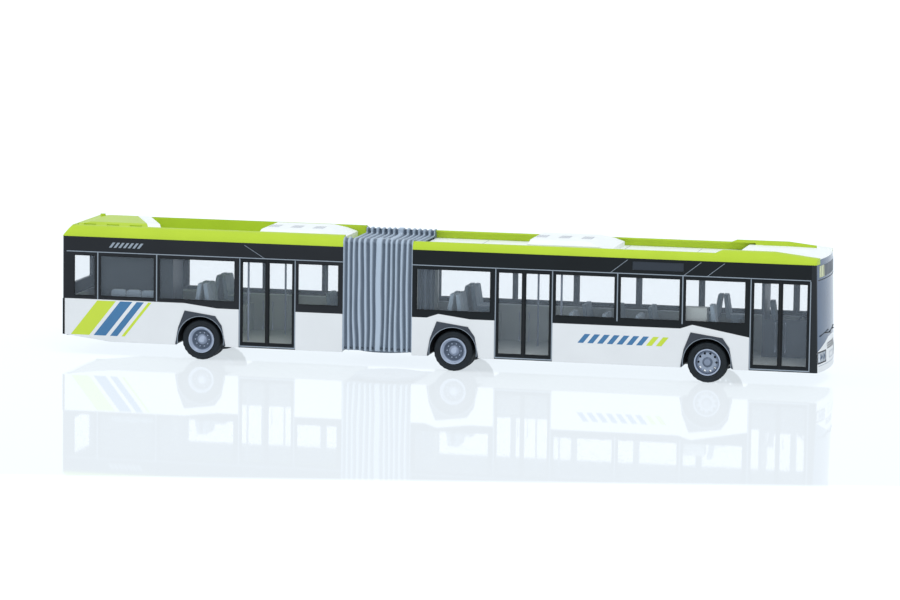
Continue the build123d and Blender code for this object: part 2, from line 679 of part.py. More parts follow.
# Route displays
DISPLAY_LOW_Z = 28.9
DISPLAY_HEIGHT = 2.4
DISPLAY_SIDE_GAP = 6.1
DISPLAY_HALF = HALF_WIDTH - DISPLAY_SIDE_GAP
DISPLAY_DEPTH = 0.6
DISPLAY_SETBACK = 0.7
SIDE_DISPLAY_LENGTH = 13.7
SIDE_DISPLAY_INSET = 0.15


def front_display():
    """Route display behind the screen."""
    face = NOSE_X - NOSE_RAKE - WALL - DISPLAY_SETBACK
    z_range = (DISPLAY_LOW_Z, DISPLAY_LOW_Z + DISPLAY_HEIGHT)
    return block((face - DISPLAY_DEPTH, face), (-DISPLAY_HALF, DISPLAY_HALF), z_range)


def side_display(play, outer):
    """Route display let into the kerb side's band, or the cutter for its seat."""
    front = FRONT_AXLE_X - ARCH_RADIUS
    x_range = (front - SIDE_DISPLAY_LENGTH + play, front - play)
    z_range = (DISPLAY_LOW_Z + play, DISPLAY_LOW_Z + DISPLAY_HEIGHT - play)
    return block(x_range, wall_span(-1, outer, WALL), z_range)


# The bellows' smooth middle band starts this share of a fold after the last fold
BAND_EDGE_SHARE = 0.2


def fold_profile(level, depth, ends):
    """Zigzag of the folds along the bus, with a smooth band half way."""
    points = [(REAR_CAR_END - ends, level - depth)] if ends else []
    for start, step in ((REAR_CAR_END, 1), (FRONT_CAR_END, -1)):
        half = []
        for i in range(FOLDS_A_SIDE):
            half.append((start + step * i * FOLD_PITCH, level - depth))
            half.append((start + step * (i + 0.5) * FOLD_PITCH, level))
        half.append((start + step * FOLDS_A_SIDE * FOLD_PITCH, level - depth))
        half.append((start + step * (FOLDS_A_SIDE + BAND_EDGE_SHARE) * FOLD_PITCH, level))
        points += half if step > 0 else half[::-1]
    if ends:
        points.append((FRONT_CAR_END + ends, level - depth))
    return points


def folded_box(shrink, ends):
    """Closed box whose sides, top and bottom all follow the folds."""
    side = HALF_WIDTH - BELLOWS_INSET - shrink
    plan = fold_profile(side, FOLD_DEPTH, ends)
    walls = plan_plate(plan + [(x, -y) for x, y in plan[::-1]], 0, ROOF_TOP_Z)
    top = fold_profile(BELLOWS_TOP_Z - shrink, FOLD_DEPTH, ends)
    bottom = fold_profile(BELLOWS_BOTTOM_Z + shrink, -FOLD_DEPTH, ends)
    box = walls & side_plate(top + bottom[::-1], -HALF_WIDTH, HALF_WIDTH)
    edge = fold_profile(side - BELLOWS_EDGE + 2 * shrink, -FOLD_DEPTH, ends)
    dish = plan_plate(edge + [(x, -y) for x, y in edge[::-1]], 0, ROOF_TOP_Z)
    floor = fold_profile(BELLOWS_DISH_Z - shrink, FOLD_DEPTH, ends)
    back, front = floor[0][0], floor[-1][0]
    above = [(front, ROOF_TOP_Z), (back, ROOF_TOP_Z)]
    return box - (dish & side_plate(floor + above, -HALF_WIDTH, HALF_WIDTH))


def bellows():
    """Folded tube between the two cars."""
    return folded_box(0, 0) - folded_box(BELLOWS_SKIN, OVERRUN)


def turntable():
    """Round plate under the bellows, carried by the front car."""
    top = TURNTABLE_Z + TURNTABLE_THICKNESS
    plate = Pos(PIVOT_X, 0, (TURNTABLE_Z + top) / 2) * Cylinder(TURNTABLE_RADIUS, TURNTABLE_THICKNESS)
    half = TURNTABLE_NECK / 2
    plate += block((PIVOT_X, FRONT_CAR_END), (-half, half), (TURNTABLE_Z, top))
    riser_z = (TURNTABLE_Z, FLOOR_TOP_Z - DRAWBAR_PLAY)
    plate += block((FRONT_CAR_END - TURNTABLE_RISER, FRONT_CAR_END), (-half, half), riser_z)
    bore = Cylinder(PIVOT_PIN_RADIUS + PIVOT_PIN_PLAY, 2 * TURNTABLE_THICKNESS + OVERRUN)
    return plate - Pos(PIVOT_X, 0, TURNTABLE_Z) * bore


def drawbar():
    """Tongue of the rear car, with the pin that turns in the front car's plate."""
    low = TURNTABLE_Z + TURNTABLE_THICKNESS + DRAWBAR_PLAY
    high = low + DRAWBAR_THICKNESS
    half = DRAWBAR_WIDTH / 2
    bar = block((REAR_CAR_END, PIVOT_X), (-half, half), (low, high))
    bar += Pos(PIVOT_X, 0, (low + high) / 2) * Cylinder(half, DRAWBAR_THICKNESS)
    pin_low = TURNTABLE_Z - DRAWBAR_PLAY
    return bar + Pos(PIVOT_X, 0, (pin_low + high) / 2) * Cylinder(PIVOT_PIN_RADIUS, high - pin_low)


# Wheels, measured from the outer face inwards
WHEEL_FACE_Y = HALF_WIDTH - WHEEL_INSET
WEB_DEPTH = 1.6
WEB_THICKNESS = 0.6
DISH_DEPTH = 0.9
HUB_INSET = 0.15
DOME_INSET = 0.35
BEAD_WIDTH = 0.8
NUT_CIRCLE_SHARE = 0.62
HOLE_CIRCLE_SHARE = 0.76
CONE_SHARE = 0.7
DOME_SHARE = 0.6
SINGLE_TYRE_COUNT = 1
TWIN_TYRE_COUNT = 2
AXLES = {
    "front": (FRONT_AXLE_X, SINGLE_TYRE_COUNT),
    "middle": (MIDDLE_AXLE_X, TWIN_TYRE_COUNT),
    "rear": (REAR_AXLE_X, TWIN_TYRE_COUNT),
}


def wheel_width(tyres):
    """Width over one side's tyres."""
    return tyres * TYRE_WIDTH + (tyres - 1) * TWIN_GAP


def turned(profile):
    """A turned solid from radius and depth, its outer face at zero and its body towards minus Y."""
    wire = Polyline(*[(radius, -depth, 0) for radius, depth in profile], close=True)
    return revolve(make_face(wire), axis=Axis.Y)


def place_wheel(solid, axle_x, side):
    """Put a solid of one wheel on its axle, outer face outwards."""
    turn = Rot(0, 0, 0) if side > 0 else Rot(Z=180)
    return Pos(axle_x, side * WHEEL_FACE_Y, AXLE_Z) * turn * solid


def tyre():
    """One tyre with rounded shoulders."""
    inner = RIM_RADIUS + RIM_SEAT_PLAY
    outer = TYRE_RADIUS
    far = TYRE_WIDTH
    return turned([
        (inner, TYRE_SHOULDER / 2), (inner + BEAD_WIDTH, 0), (outer - TYRE_SHOULDER, 0),
        (outer, TYRE_SHOULDER), (outer, far - TYRE_SHOULDER), (outer - TYRE_SHOULDER, far),
        (inner + BEAD_WIDTH, far), (inner, far - TYRE_SHOULDER / 2),
    ])


def ring_of(solid, count, circle, depth):
    """Copies of a small solid round the wheel's axis."""
    return [Rot(Y=i * 360 / count) * Pos(circle, -depth, 0) * Rot(X=90) * solid for i in range(count)]


def front_rim(width):
    """Dished disc wheel with hand holes and a raised hub."""
    lip = RIM_RADIUS - RIM_LIP
    rim = turned([
        (0, HUB_INSET), (HUB_RADIUS * CONE_SHARE, HUB_INSET),
        (HUB_RADIUS, DOME_INSET), (HUB_RADIUS, DISH_DEPTH / 2),
        (lip * HOLE_CIRCLE_SHARE, DISH_DEPTH / 2), (lip, DISH_DEPTH), (lip, 0), (RIM_RADIUS, 0),
        (RIM_RADIUS, width), (lip, width), (lip, WEB_DEPTH), (0, WEB_DEPTH),
    ])
    bore = Cylinder(HAND_HOLE_RADIUS, 2 * WEB_DEPTH + OVERRUN)
    for hole in ring_of(bore, HAND_HOLE_COUNT, lip * HOLE_CIRCLE_SHARE, 0):
        rim -= hole
    return rim


def drive_rim(width):
    """Deep wheel with a ring of nuts and a domed hub."""
    lip = RIM_RADIUS - RIM_LIP
    web_face = WEB_DEPTH - WEB_THICKNESS / 2
    rim = turned([
        (0, DOME_INSET), (HUB_RADIUS * DOME_SHARE, DOME_INSET),
        (HUB_RADIUS, DISH_DEPTH), (HUB_RADIUS, web_face), (lip, web_face), (lip, 0), (RIM_RADIUS, 0),
        (RIM_RADIUS, width), (lip, width), (lip, WEB_DEPTH), (0, WEB_DEPTH),
    ])
    nut = Cylinder(WHEEL_NUT_RADIUS, WEB_THICKNESS)
    for placed in ring_of(nut, HAND_HOLE_COUNT, lip * NUT_CIRCLE_SHARE, web_face):
        rim += placed
    return rim


def wheel_set(axle_x, tyres):
    """Axle, rims and tyres that turn together."""
    half = WHEEL_FACE_Y - WEB_DEPTH
    axle = round_bar(axle_x, AXLE_Z, AXLE_RADIUS, -half, half)
    rim = front_rim(wheel_width(tyres)) if tyres == SINGLE_TYRE_COUNT else drive_rim(wheel_width(tyres))
    rims = [place_wheel(rim, axle_x, side) for side in SIDES]
    covers = []
    for side in SIDES:
        for i in range(tyres):
            shifted = Pos(0, -i * (TYRE_WIDTH + TWIN_GAP), 0) * tyre()
            covers.append(place_wheel(shifted, axle_x, side))
    return {"axle": axle, "rims": Compound(children=rims), "tyres": Compound(children=covers)}


# End frames round the passage between the cars
END_FRAME_WIDTH = 1.3
END_FRAME_LENGTH = 0.9

# Floors; the rear one is raised over the engine
SEAT_WALL_GAP = 0.15
TUB_TOP_Z = 14.7
FLOOR_HALF = INNER_HALF - FLOOR_SIDE_GAP
CABIN_HALF = INNER_HALF - GLASS_THICKNESS - SEAT_WALL_GAP
PLATFORM_RISE = 2.0
PLATFORM_Z = FLOOR_TOP_Z + PLATFORM_RISE
PLATFORM_X = TOWER_FRONT_X + PILLAR
BOX_TOP_Z = AXLE_Z + ARCH_RADIUS + BOX_WALL


def box_inner_y(tyres):
    """Inner face of the wheel space, out from the centre line."""
    return WHEEL_FACE_Y - wheel_width(tyres) - BOX_SIDE_CLEARANCE


def add_wheel_boxes(pan, axle_x, tyres):
    """Wheel boxes, axle hump and bearings of one axle, added to a floor."""
    inner_y = box_inner_y(tyres)
    wall_y = inner_y - BOX_WALL
    box_x = (axle_x - ARCH_RADIUS - BOX_WALL, axle_x + ARCH_RADIUS + BOX_WALL)
    slot_half = AXLE_RADIUS + AXLE_SLOT_PLAY
    slot_top = AXLE_Z + slot_half
    hump_x = (axle_x - slot_half - BOX_WALL, axle_x + slot_half + BOX_WALL)
    pan += block(hump_x, (-wall_y, wall_y), (FLOOR_BOTTOM_Z, slot_top + BOX_WALL))
    for side in SIDES:
        pan += block(box_x, (side * wall_y, side * FLOOR_HALF), (FLOOR_BOTTOM_Z, BOX_TOP_Z))
        pan -= arch_cutter(axle_x, side * inner_y, side * (HALF_WIDTH + OVERRUN))
    slot_y = inner_y + OVERRUN
    pan -= block((axle_x - slot_half, axle_x + slot_half), (-slot_y, slot_y), (0, slot_top))
    for side in SIDES:
        bearing_y = side * wall_y / 2
        y_range = (bearing_y - BEARING_Y / 2, bearing_y + BEARING_Y / 2)
        bearing = block((axle_x - slot_half, axle_x + slot_half), y_range, (FLOOR_BOTTOM_Z, slot_top))
        pan += bearing - round_bar(axle_x, AXLE_Z, AXLE_RADIUS + AXLE_PLAY, -FLOOR_HALF, FLOOR_HALF)
    return pan


def tub_walls(side, x_from, x_to, doors):
    """Low inner walls of one side that stand on the floor, between its doors."""
    y_range = (side * (CABIN_HALF + FLOOR_SIDE_GAP), side * FLOOR_HALF)
    wall = block((x_from, x_to), y_range, (FLOOR_TOP_Z, TUB_TOP_Z))
    for door in doors:
        gap = (door[0] - END_PILLAR / 2, door[1] + END_PILLAR / 2)
        wall -= block(gap, (0, side * HALF_WIDTH), (FLOOR_TOP_Z, TUB_TOP_Z + OVERRUN))
    return wall


def front_floor():
    """Floor of the front car, with its low inner walls and four wheel boxes."""
    pan = block((FRONT_CAR_END, NOSE_BACK_X), (-FLOOR_HALF, FLOOR_HALF), (FLOOR_BOTTOM_Z, FLOOR_TOP_Z))
    tub_back = FRONT_CAR_END + END_FRAME_LENGTH
    pan += tub_walls(1, tub_back, NOSE_BACK_X - END_PILLAR / 2, [])
    pan += tub_walls(-1, tub_back, NOSE_BACK_X - END_PILLAR / 2, [DOORS["front_door"], DOORS["middle_door"]])
    nose = nose_plan(WALL + FLOOR_SIDE_GAP, FLOOR_BOTTOM_Z, NOSE_BACK_X - OVERRUN)
    pan += extrude(nose, amount=FLOOR_THICKNESS, dir=(0, 0, 1))
    for name in ("front", "middle"):
        pan = add_wheel_boxes(pan, *AXLES[name])
    return pan + locker()


def rear_floor():
    """Floor of the rear car, climbing at the tail."""
    outline = [
        (REAR_CAR_END, FLOOR_BOTTOM_Z), (TAIL_RAMP_X, FLOOR_BOTTOM_Z),
        (TAIL_PLATE_X, FLOOR_BOTTOM_Z + TAIL_LIFT), (TAIL_PLATE_X, PLATFORM_Z),
        (PLATFORM_X, PLATFORM_Z), (PLATFORM_X, FLOOR_TOP_Z), (REAR_CAR_END, FLOOR_TOP_Z),
    ]
    pan = side_plate(outline, -FLOOR_HALF, FLOOR_HALF)
    tub_front = REAR_CAR_END - END_FRAME_LENGTH
    pan += tub_walls(1, TAIL_PLATE_X, tub_front, [])
    pan += tub_walls(-1, TAIL_PLATE_X, tub_front, [DOORS["rear_door"]])
    return add_wheel_boxes(pan, *AXLES["rear"])


def end_frame(x_from, step):
    """Square frame that carries one end of the bellows."""
    x_range = (x_from, x_from + step * END_FRAME_LENGTH)
    half = INNER_HALF - GLASS_THICKNESS
    frame = block(x_range, (-half, half), (FLOOR_TOP_Z, DECK_BOTTOM_Z))
    inner_half = half - END_FRAME_WIDTH
    return frame - block(x_range, (-inner_half, inner_half), (FLOOR_TOP_Z, DECK_BOTTOM_Z - END_FRAME_WIDTH))


# Seats as (where the back meets the cushion, way it faces)
SEAT_WIDTH = 4.0
SEAT_DEPTH = 4.6
SEAT_PAIR_GAP = 0.2
CUSHION = 1.1
BACK_THICKNESS = 1.0
BACK_LEAN = 0.9
LEG_INSET = 1.3
LOW_CUSHION = 5.2
LOW_BACK = 11.6
BOX_CUSHION = 2.6
BOX_BACK = 7.9
BENCH_CUSHION = 4.4
BENCH_BACK = 10.8
BENCH_COUNT = 3
BACK_ROUND = 0.8
BACK_TO_BACK = 1.1
BACKWARD, FORWARD = SIDES
ROW_COUNT = 3
FIRST_ROW_INSET = 4.9
LAST_ROW_GAP = 2.5
FIRST_ROW_X = DOOR_2_FRONT + FIRST_ROW_INSET
ROW_PITCH = (FRONT_AXLE_X - ARCH_RADIUS - BOX_WALL - LAST_ROW_GAP - FIRST_ROW_X) / ROW_COUNT
WINDOW_SEAT_Y = CABIN_HALF - SEAT_WIDTH / 2
SEAT_YS = (WINDOW_SEAT_Y, WINDOW_SEAT_Y - SEAT_WIDTH - SEAT_PAIR_GAP)


def seat(x, facing, y, base_z, cushion, back):
    """One seat: leg, cushion and leaning back."""
    top = base_z + cushion
    shape = [
        (LEG_INSET, base_z), (SEAT_DEPTH - LEG_INSET, base_z), (SEAT_DEPTH - LEG_INSET, top - CUSHION),
        (SEAT_DEPTH, top - CUSHION), (SEAT_DEPTH, top), (BACK_THICKNESS, top),
        (BACK_THICKNESS - BACK_LEAN, base_z + back), (-BACK_LEAN, base_z + back),
        (0, top - CUSHION), (LEG_INSET, top - CUSHION),
    ]
    outline = [(x + facing * dx, z) for dx, z in shape]
    solid = side_plate(outline, y - SEAT_WIDTH / 2, y + SEAT_WIDTH / 2)
    top_z = base_z + back
    corners = [e for e in solid.edges().filter_by(Axis.X) if abs(e.center().Z - top_z) < PANE_PLAY]
    return fillet(corners, BACK_ROUND)


def low_rows(places, facing, sides):
    """Pairs of seats that stand on the low floor."""
    sizes = (FLOOR_TOP_Z, LOW_CUSHION, LOW_BACK)
    return [seat(x, facing, side * y, *sizes) for x in places for side in sides for y in SEAT_YS]


def box_rows(axle_x, sides, facing, seat_ys):
    """Seats on the wheel boxes, back to back with the row that faces the other way."""
    sizes = (BOX_TOP_Z, BOX_CUSHION, BOX_BACK)
    back_x = axle_x + facing * BACK_TO_BACK
    return [seat(back_x, facing, side * y, *sizes) for side in sides for y in seat_ys]


def front_seats():
    """Seats of the front car."""
    places = [FIRST_ROW_X + i * ROW_PITCH for i in range(ROW_COUNT)]
    seats = low_rows(places, FORWARD, SIDES)
    for facing in SIDES:
        seats += box_rows(MIDDLE_AXLE_X, SIDES, facing, SEAT_YS)
    seats += box_rows(FRONT_AXLE_X, SIDES, FORWARD, SEAT_YS[:1])
    return seats + box_rows(FRONT_AXLE_X, (1,), BACKWARD, SEAT_YS[:1])


def rear_seats():
    """Seats of the rear car."""
    seats = low_rows([(DOOR_3_FRONT + REAR_CAR_END) / 2 - SEAT_DEPTH / 2], FORWARD, (1,))
    for facing in SIDES:
        seats += box_rows(REAR_AXLE_X, SIDES, facing, SEAT_YS)
    return seats + bench()


def bench():
    """Seats in a row along the kerb side of the raised floor, backs to the window."""
    seats = []
    for i in range(BENCH_COUNT):
        x = TOWER_FRONT_X - SEAT_WIDTH / 2 - i * (SEAT_WIDTH + SEAT_PAIR_GAP)
        turned_seat = Rot(Z=90) * seat(0, FORWARD, 0, PLATFORM_Z, BENCH_CUSHION, BENCH_BACK)
        seats.append(Pos(x, BACK_LEAN - CABIN_HALF, 0) * turned_seat)
    return seats


# Engine tower and driver's place
TOWER_INNER_Y = 3.4
TOWER_INSET = 4.0
TOWER_BACK_X = TAIL_X + TOWER_INSET
CAB_WALL = 0.6
CAB_INNER_Y = 3.0
CAB_TOP_Z = 25.5
CAB_STEP_Z = 8.0
DASH_LENGTH = 4.2
DASH_TOP_Z = 15.2
DASH_SLOPE = 1.6
DASH_GAP = 0.6
WHEEL_RING_RADIUS = 2.3
WHEEL_RING_BAR = 0.25
WHEEL_TILT = 45
CAB_BACK_X = DOOR_1_BACK + CAB_WALL
DASH_BACK_X = NOSE_BACK_X - DASH_LENGTH
DRIVER_Y = (CAB_INNER_Y + CABIN_HALF) / 2
DRIVER_SEAT_X = CAB_BACK_X + 2 * BACK_LEAN + CAB_WALL
LOCKER_LENGTH = 6.0
LOCKER_HEIGHT = 7.0
RAIL_RADIUS = 0.28


def engine_tower():
    """Closed tower beside the rear passage, on the road side."""
    return block((TOWER_BACK_X, TOWER_FRONT_X), (TOWER_INNER_Y, CABIN_HALF), (PLATFORM_Z, DECK_BOTTOM_Z))


def driver_cab():
    """Step, partition and dashboard of the driver's place."""
    dash_front = NOSE_BACK_X - DASH_GAP
    cab = block((CAB_BACK_X, DASH_BACK_X), (CAB_INNER_Y, CABIN_HALF), (FLOOR_TOP_Z, CAB_STEP_Z))
    cab += block((CAB_BACK_X, CAB_BACK_X + CAB_WALL), (CAB_INNER_Y, CABIN_HALF), (FLOOR_TOP_Z, CAB_TOP_Z))
    cab += block((CAB_BACK_X, dash_front), (CAB_INNER_Y, CAB_INNER_Y + CAB_WALL), (FLOOR_TOP_Z, DASH_TOP_Z))
    dash = [
        (DASH_BACK_X, FLOOR_TOP_Z), (dash_front, FLOOR_TOP_Z), (dash_front, DASH_TOP_Z),
        (DASH_BACK_X + DASH_SLOPE, DASH_TOP_Z), (DASH_BACK_X, DASH_TOP_Z - DASH_SLOPE),
    ]
    return cab + side_plate(dash, CAB_INNER_Y, CABIN_HALF)


def steering_wheel():
    """Ring and column in front of the driver."""
    lean = Pos(DASH_BACK_X + DASH_SLOPE / 2, DRIVER_Y, DASH_TOP_Z - DASH_SLOPE / 2) * Rot(Y=-WHEEL_TILT)
    column = Pos(0, 0, WHEEL_RING_RADIUS / 2) * Cylinder(WHEEL_RING_BAR * 2, WHEEL_RING_RADIUS)
    ring = Pos(0, 0, WHEEL_RING_RADIUS) * Torus(WHEEL_RING_RADIUS, WHEEL_RING_BAR)
    spoke = Pos(0, 0, WHEEL_RING_RADIUS) * Box(WHEEL_RING_BAR * 2, 2 * WHEEL_RING_RADIUS, WHEEL_RING_BAR)
    return lean * (column + ring + spoke)


def locker():
    """Box over the kerb side's front wheel."""
    x_from = FRONT_AXLE_X - ARCH_RADIUS
    y_range = (-CABIN_HALF, -box_inner_y(SINGLE_TYRE_COUNT))
    z_range = (BOX_TOP_Z - BOX_WALL, BOX_TOP_Z + LOCKER_HEIGHT)
    return block((x_from, x_from + LOCKER_LENGTH), y_range, z_range)


def poles(places):
    """Grab poles from floor to roof."""
    middle = (FLOOR_TOP_Z + DECK_BOTTOM_Z) / 2
    height = DECK_BOTTOM_Z - FLOOR_TOP_Z
    return gather([Pos(x, y, middle) * Cylinder(RAIL_RADIUS, height) for x, y in places])


POLE_Y = 4.6
DOOR_POLE_INSET = 5.1
DOOR_POLE_Y = HALF_WIDTH - DOOR_POLE_INSET
FRONT_POLES = [
    (DOOR_2_BACK - PILLAR, -DOOR_POLE_Y), (DOOR_2_FRONT + PILLAR, -DOOR_POLE_Y),
    (DOOR_1_BACK - PILLAR, -POLE_Y), (DOOR_2_BACK + DOOR_WIDTH / 2, POLE_Y),
]
REAR_POLES = [
    (DOOR_3_BACK + PILLAR, -DOOR_POLE_Y), (DOOR_3_FRONT - PILLAR, -DOOR_POLE_Y),
    (DOOR_3_BACK + DOOR_WIDTH / 2, POLE_Y),
]

# Tail
TAIL_WINDOW_SIDE = 4.9
TAIL_WINDOW_HALF = HALF_WIDTH - TAIL_WINDOW_SIDE
TAIL_WINDOW_SILL_Z = 18.5
TAIL_WINDOW_HEAD_Z = 28.5
TAIL_CORNER = 0.7
TAIL_LAMP_INSET = 1.8
TAIL_LAMP_Y = HALF_WIDTH - TAIL_LAMP_INSET
TAIL_LAMP_RADIUS = 0.7
TAIL_LAMP_DEPTH = 0.4
TAIL_LAMP_FIRST_Z = 8.4
TAIL_LAMP_PITCH = 1.75
TAIL_LAMP_COUNT = 3
TAIL_SLAT_COUNT = 6
TAIL_SLAT_SIDE = 2.3
TAIL_SLAT_HALF = TAIL_WINDOW_HALF - TAIL_SLAT_SIDE
TAIL_SLAT_HEIGHT = 0.35
TAIL_SLAT_PITCH = 0.8
TAIL_SLAT_FIRST_Z = 8.6
TOWER_SLAT_COUNT = 9
TOWER_SLAT_PITCH = 1.15
TOWER_SLAT_DEPTH = 0.35


def tail_plate(low_z, high_z):
    """End plate of the rear car with rounded outer corners."""
    plate = block((TAIL_X, TAIL_PLATE_X), (-HALF_WIDTH, HALF_WIDTH), (low_z, high_z))
    corners = [e for e in plate.edges().filter_by(Axis.Z) if e.center().X < TAIL_X + PANE_PLAY]
    return fillet(corners, TAIL_CORNER)


def tail_window_cutter(play, x_range):
    """Opening of the rear window, or its pane with play round it."""
    half = TAIL_WINDOW_HALF - play
    opening = block(x_range, (-half, half), (TAIL_WINDOW_SILL_Z + play, TAIL_WINDOW_HEAD_Z - play))
    return fillet(opening.edges().filter_by(Axis.X), WINDOW_CORNER)


def upper_tail():
    """Dark upper end plate with the rear window cut."""
    plate = tail_plate(WAIST_Z + WAIST_RISE, FASCIA_Z)
    return plate - tail_window_cutter(0, (TAIL_X - OVERRUN, TAIL_PLATE_X + OVERRUN))


def tail_lamp_places():
    """Centre of each tail lamp, seen from behind."""
    heights = [TAIL_LAMP_FIRST_Z + i * TAIL_LAMP_PITCH for i in range(TAIL_LAMP_COUNT)]
    return [(side * TAIL_LAMP_Y, height) for side in SIDES for height in heights]


def lower_tail():
    """White lower end plate with lamp seats and cooling slats."""
    plate = tail_plate(SKIRT_Z + TAIL_LIFT, WAIST_Z + WAIST_RISE)
    for y, z in tail_lamp_places():
        plate -= Pos(TAIL_X, y, z) * Rot(Y=90) * Cylinder(TAIL_LAMP_RADIUS, 2 * TAIL_LAMP_DEPTH)
    for i in range(TAIL_SLAT_COUNT):
        low = TAIL_SLAT_FIRST_Z + i * TAIL_SLAT_PITCH
        x_range = (TAIL_X - OVERRUN, TAIL_X + WALL / 2)
        plate -= block(x_range, (-TAIL_SLAT_HALF, TAIL_SLAT_HALF), (low, low + TAIL_SLAT_HEIGHT))
    return plate


def tower_slats():
    """Cutter for the air slats in the road side's band, beside the engine tower."""
    slats = []
    for i in range(TOWER_SLAT_COUNT):
        low = WINDOW_SILL_Z + i * TOWER_SLAT_PITCH
        z_range = (low, low + TOWER_SLAT_PITCH / 2)
        slats.append(block((TOWER_BACK_X, TOWER_FRONT_X), wall_span(1, -OVERRUN, TOWER_SLAT_DEPTH), z_range))
    return gather(slats)


def tail_lamps():
    """Round lamps in two columns, flush with the end plate."""
    lamp = Rot(Y=90) * Cylinder(TAIL_LAMP_RADIUS - PANE_PLAY, TAIL_LAMP_DEPTH)
    return gather([Pos(TAIL_X + TAIL_LAMP_DEPTH / 2, y, z) * lamp for y, z in tail_lamp_places()])


def tail_window():
    """Pane of the rear window."""
    return tail_window_cutter(PANE_PLAY, (TAIL_X + GLASS_RECESS, TAIL_PLATE_X))


def shells():
    """The painted walls, glazing and roof edges of both cars."""
    front_doors = [DOORS["front_door"], DOORS["middle_door"]]
    rear_doors = [DOORS["rear_door"]]
    front_panes = {-1: FRONT_KERB_PANES, 1: FRONT_ROAD_PANES}
    rear_panes = {-1: REAR_KERB_PANES, 1: REAR_ROAD_PANES}
    front_bottom = [(FRONT_CAR_END, SKIRT_Z), (NOSE_BACK_X, SKIRT_Z)]
    rear_bottom = [(TAIL_PLATE_X, SKIRT_Z + TAIL_LIFT), (TAIL_RAMP_X, SKIRT_Z), (REAR_CAR_END, SKIRT_Z)]
    front_glass = glazing(front_panes, (FRONT_CAR_END, NOSE_BACK_X)) + door_glass(front_doors)
    rear_glass = glazing(rear_panes, (TAIL_PLATE_X, REAR_CAR_END)) + door_glass(rear_doors)
    front_band = gather(window_band(FRONT_WAIST, front_panes, front_doors))
    rear_band = fused([upper_tail()] + window_band(REAR_WAIST, rear_panes, rear_doors))
    front_skirt = skirt_walls(front_bottom, FRONT_WAIST, (FRONT_AXLE_X, MIDDLE_AXLE_X), front_doors)
    rear_skirt = skirt_walls(rear_bottom, REAR_WAIST, (REAR_AXLE_X,), rear_doors)
    return {
        "front_skirt_walls": gather(front_skirt),
        "rear_skirt_walls": fused([lower_tail()] + rear_skirt),
        "front_window_band": front_band - side_display(0, -OVERRUN),
        "rear_window_band": rear_band - tower_slats(),
        "front_glazing": gather(front_glass),
        "rear_glazing": gather(rear_glass + [tail_window()]),
        "front_coamings": front_coamings(),
        "rear_coamings": rear_coamings(),
        "front_arch_trims": gather(arch_trims(FRONT_AXLE_X) + arch_trims(MIDDLE_AXLE_X)),
        "rear_arch_trims": gather(arch_trims(REAR_AXLE_X)),
    }


def roof_pieces():
    """Decks, covers and units on the two roofs."""
    return {
        "front_deck": deck(FRONT_CAR_END, NOSE_BACK_X),
        "rear_deck": deck(TAIL_PLATE_X, REAR_CAR_END),
        "front_air_unit": air_unit(FRONT_UNIT_X),
        "rear_air_unit": air_unit(REAR_UNIT_X),
        "front_roof_cover": roof_cover(),
        "rear_hood": rear_hood(),
        "hood_band": hood_band(),
    }


def end_pieces():
    """Nose, tail lamps and displays."""
    shell = nose_skin(WALL)
    return {
        "screen_mask": (shell & mask_region()) - roof_corners(),
        "front_panel": front_panel(shell),
        "headlamps": headlamps(),
        "tail_lamps": tail_lamps(),
        "front_display": front_display(),
        "side_display": side_display(PANE_PLAY, SIDE_DISPLAY_INSET),
    }


def inside_pieces():
    """Floors and what stands on them."""
    driver_seat = seat(DRIVER_SEAT_X, FORWARD, DRIVER_Y, CAB_STEP_Z, LOW_CUSHION, LOW_BACK)
    return {
        "front_floor": front_floor(),
        "rear_floor": rear_floor(),
        "front_seats": gather(front_seats()),
        "rear_seats": gather(rear_seats()),
        "driver_seat": driver_seat,
        "front_poles": poles(FRONT_POLES),
        "rear_poles": poles(REAR_POLES),
        "driver_cab": driver_cab(),
        "steering_wheel": steering_wheel(),
        "engine_tower": engine_tower(),
    }


def joint_pieces():
    """What lies between the two cars."""
    return {
        "front_end_frame": end_frame(FRONT_CAR_END, 1),
        "rear_end_frame": end_frame(REAR_CAR_END, -1),
        "bellows": bellows(),
        "turntable": turntable(),
        "drawbar": drawbar(),
    }


def all_nodes():
    """Every node of the bus by name."""
    nodes = {**shells(), **roof_pieces(), **end_pieces(), **inside_pieces(), **joint_pieces()}
    for name, door in DOORS.items():
        nodes[name] = door_frame(door)
    for name, (axle_x, tyres) in AXLES.items():
        for piece, solid in wheel_set(axle_x, tyres).items():
            nodes[name + "_" + piece] = solid
    return nodes


os.makedirs("parts", exist_ok=True)
for node_name, node_solid in all_nodes().items():
    export_step(node_solid, "parts/" + node_name + ".step")
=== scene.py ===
import math

import bmesh
import bpy
from mathutils import Matrix, Vector, noise


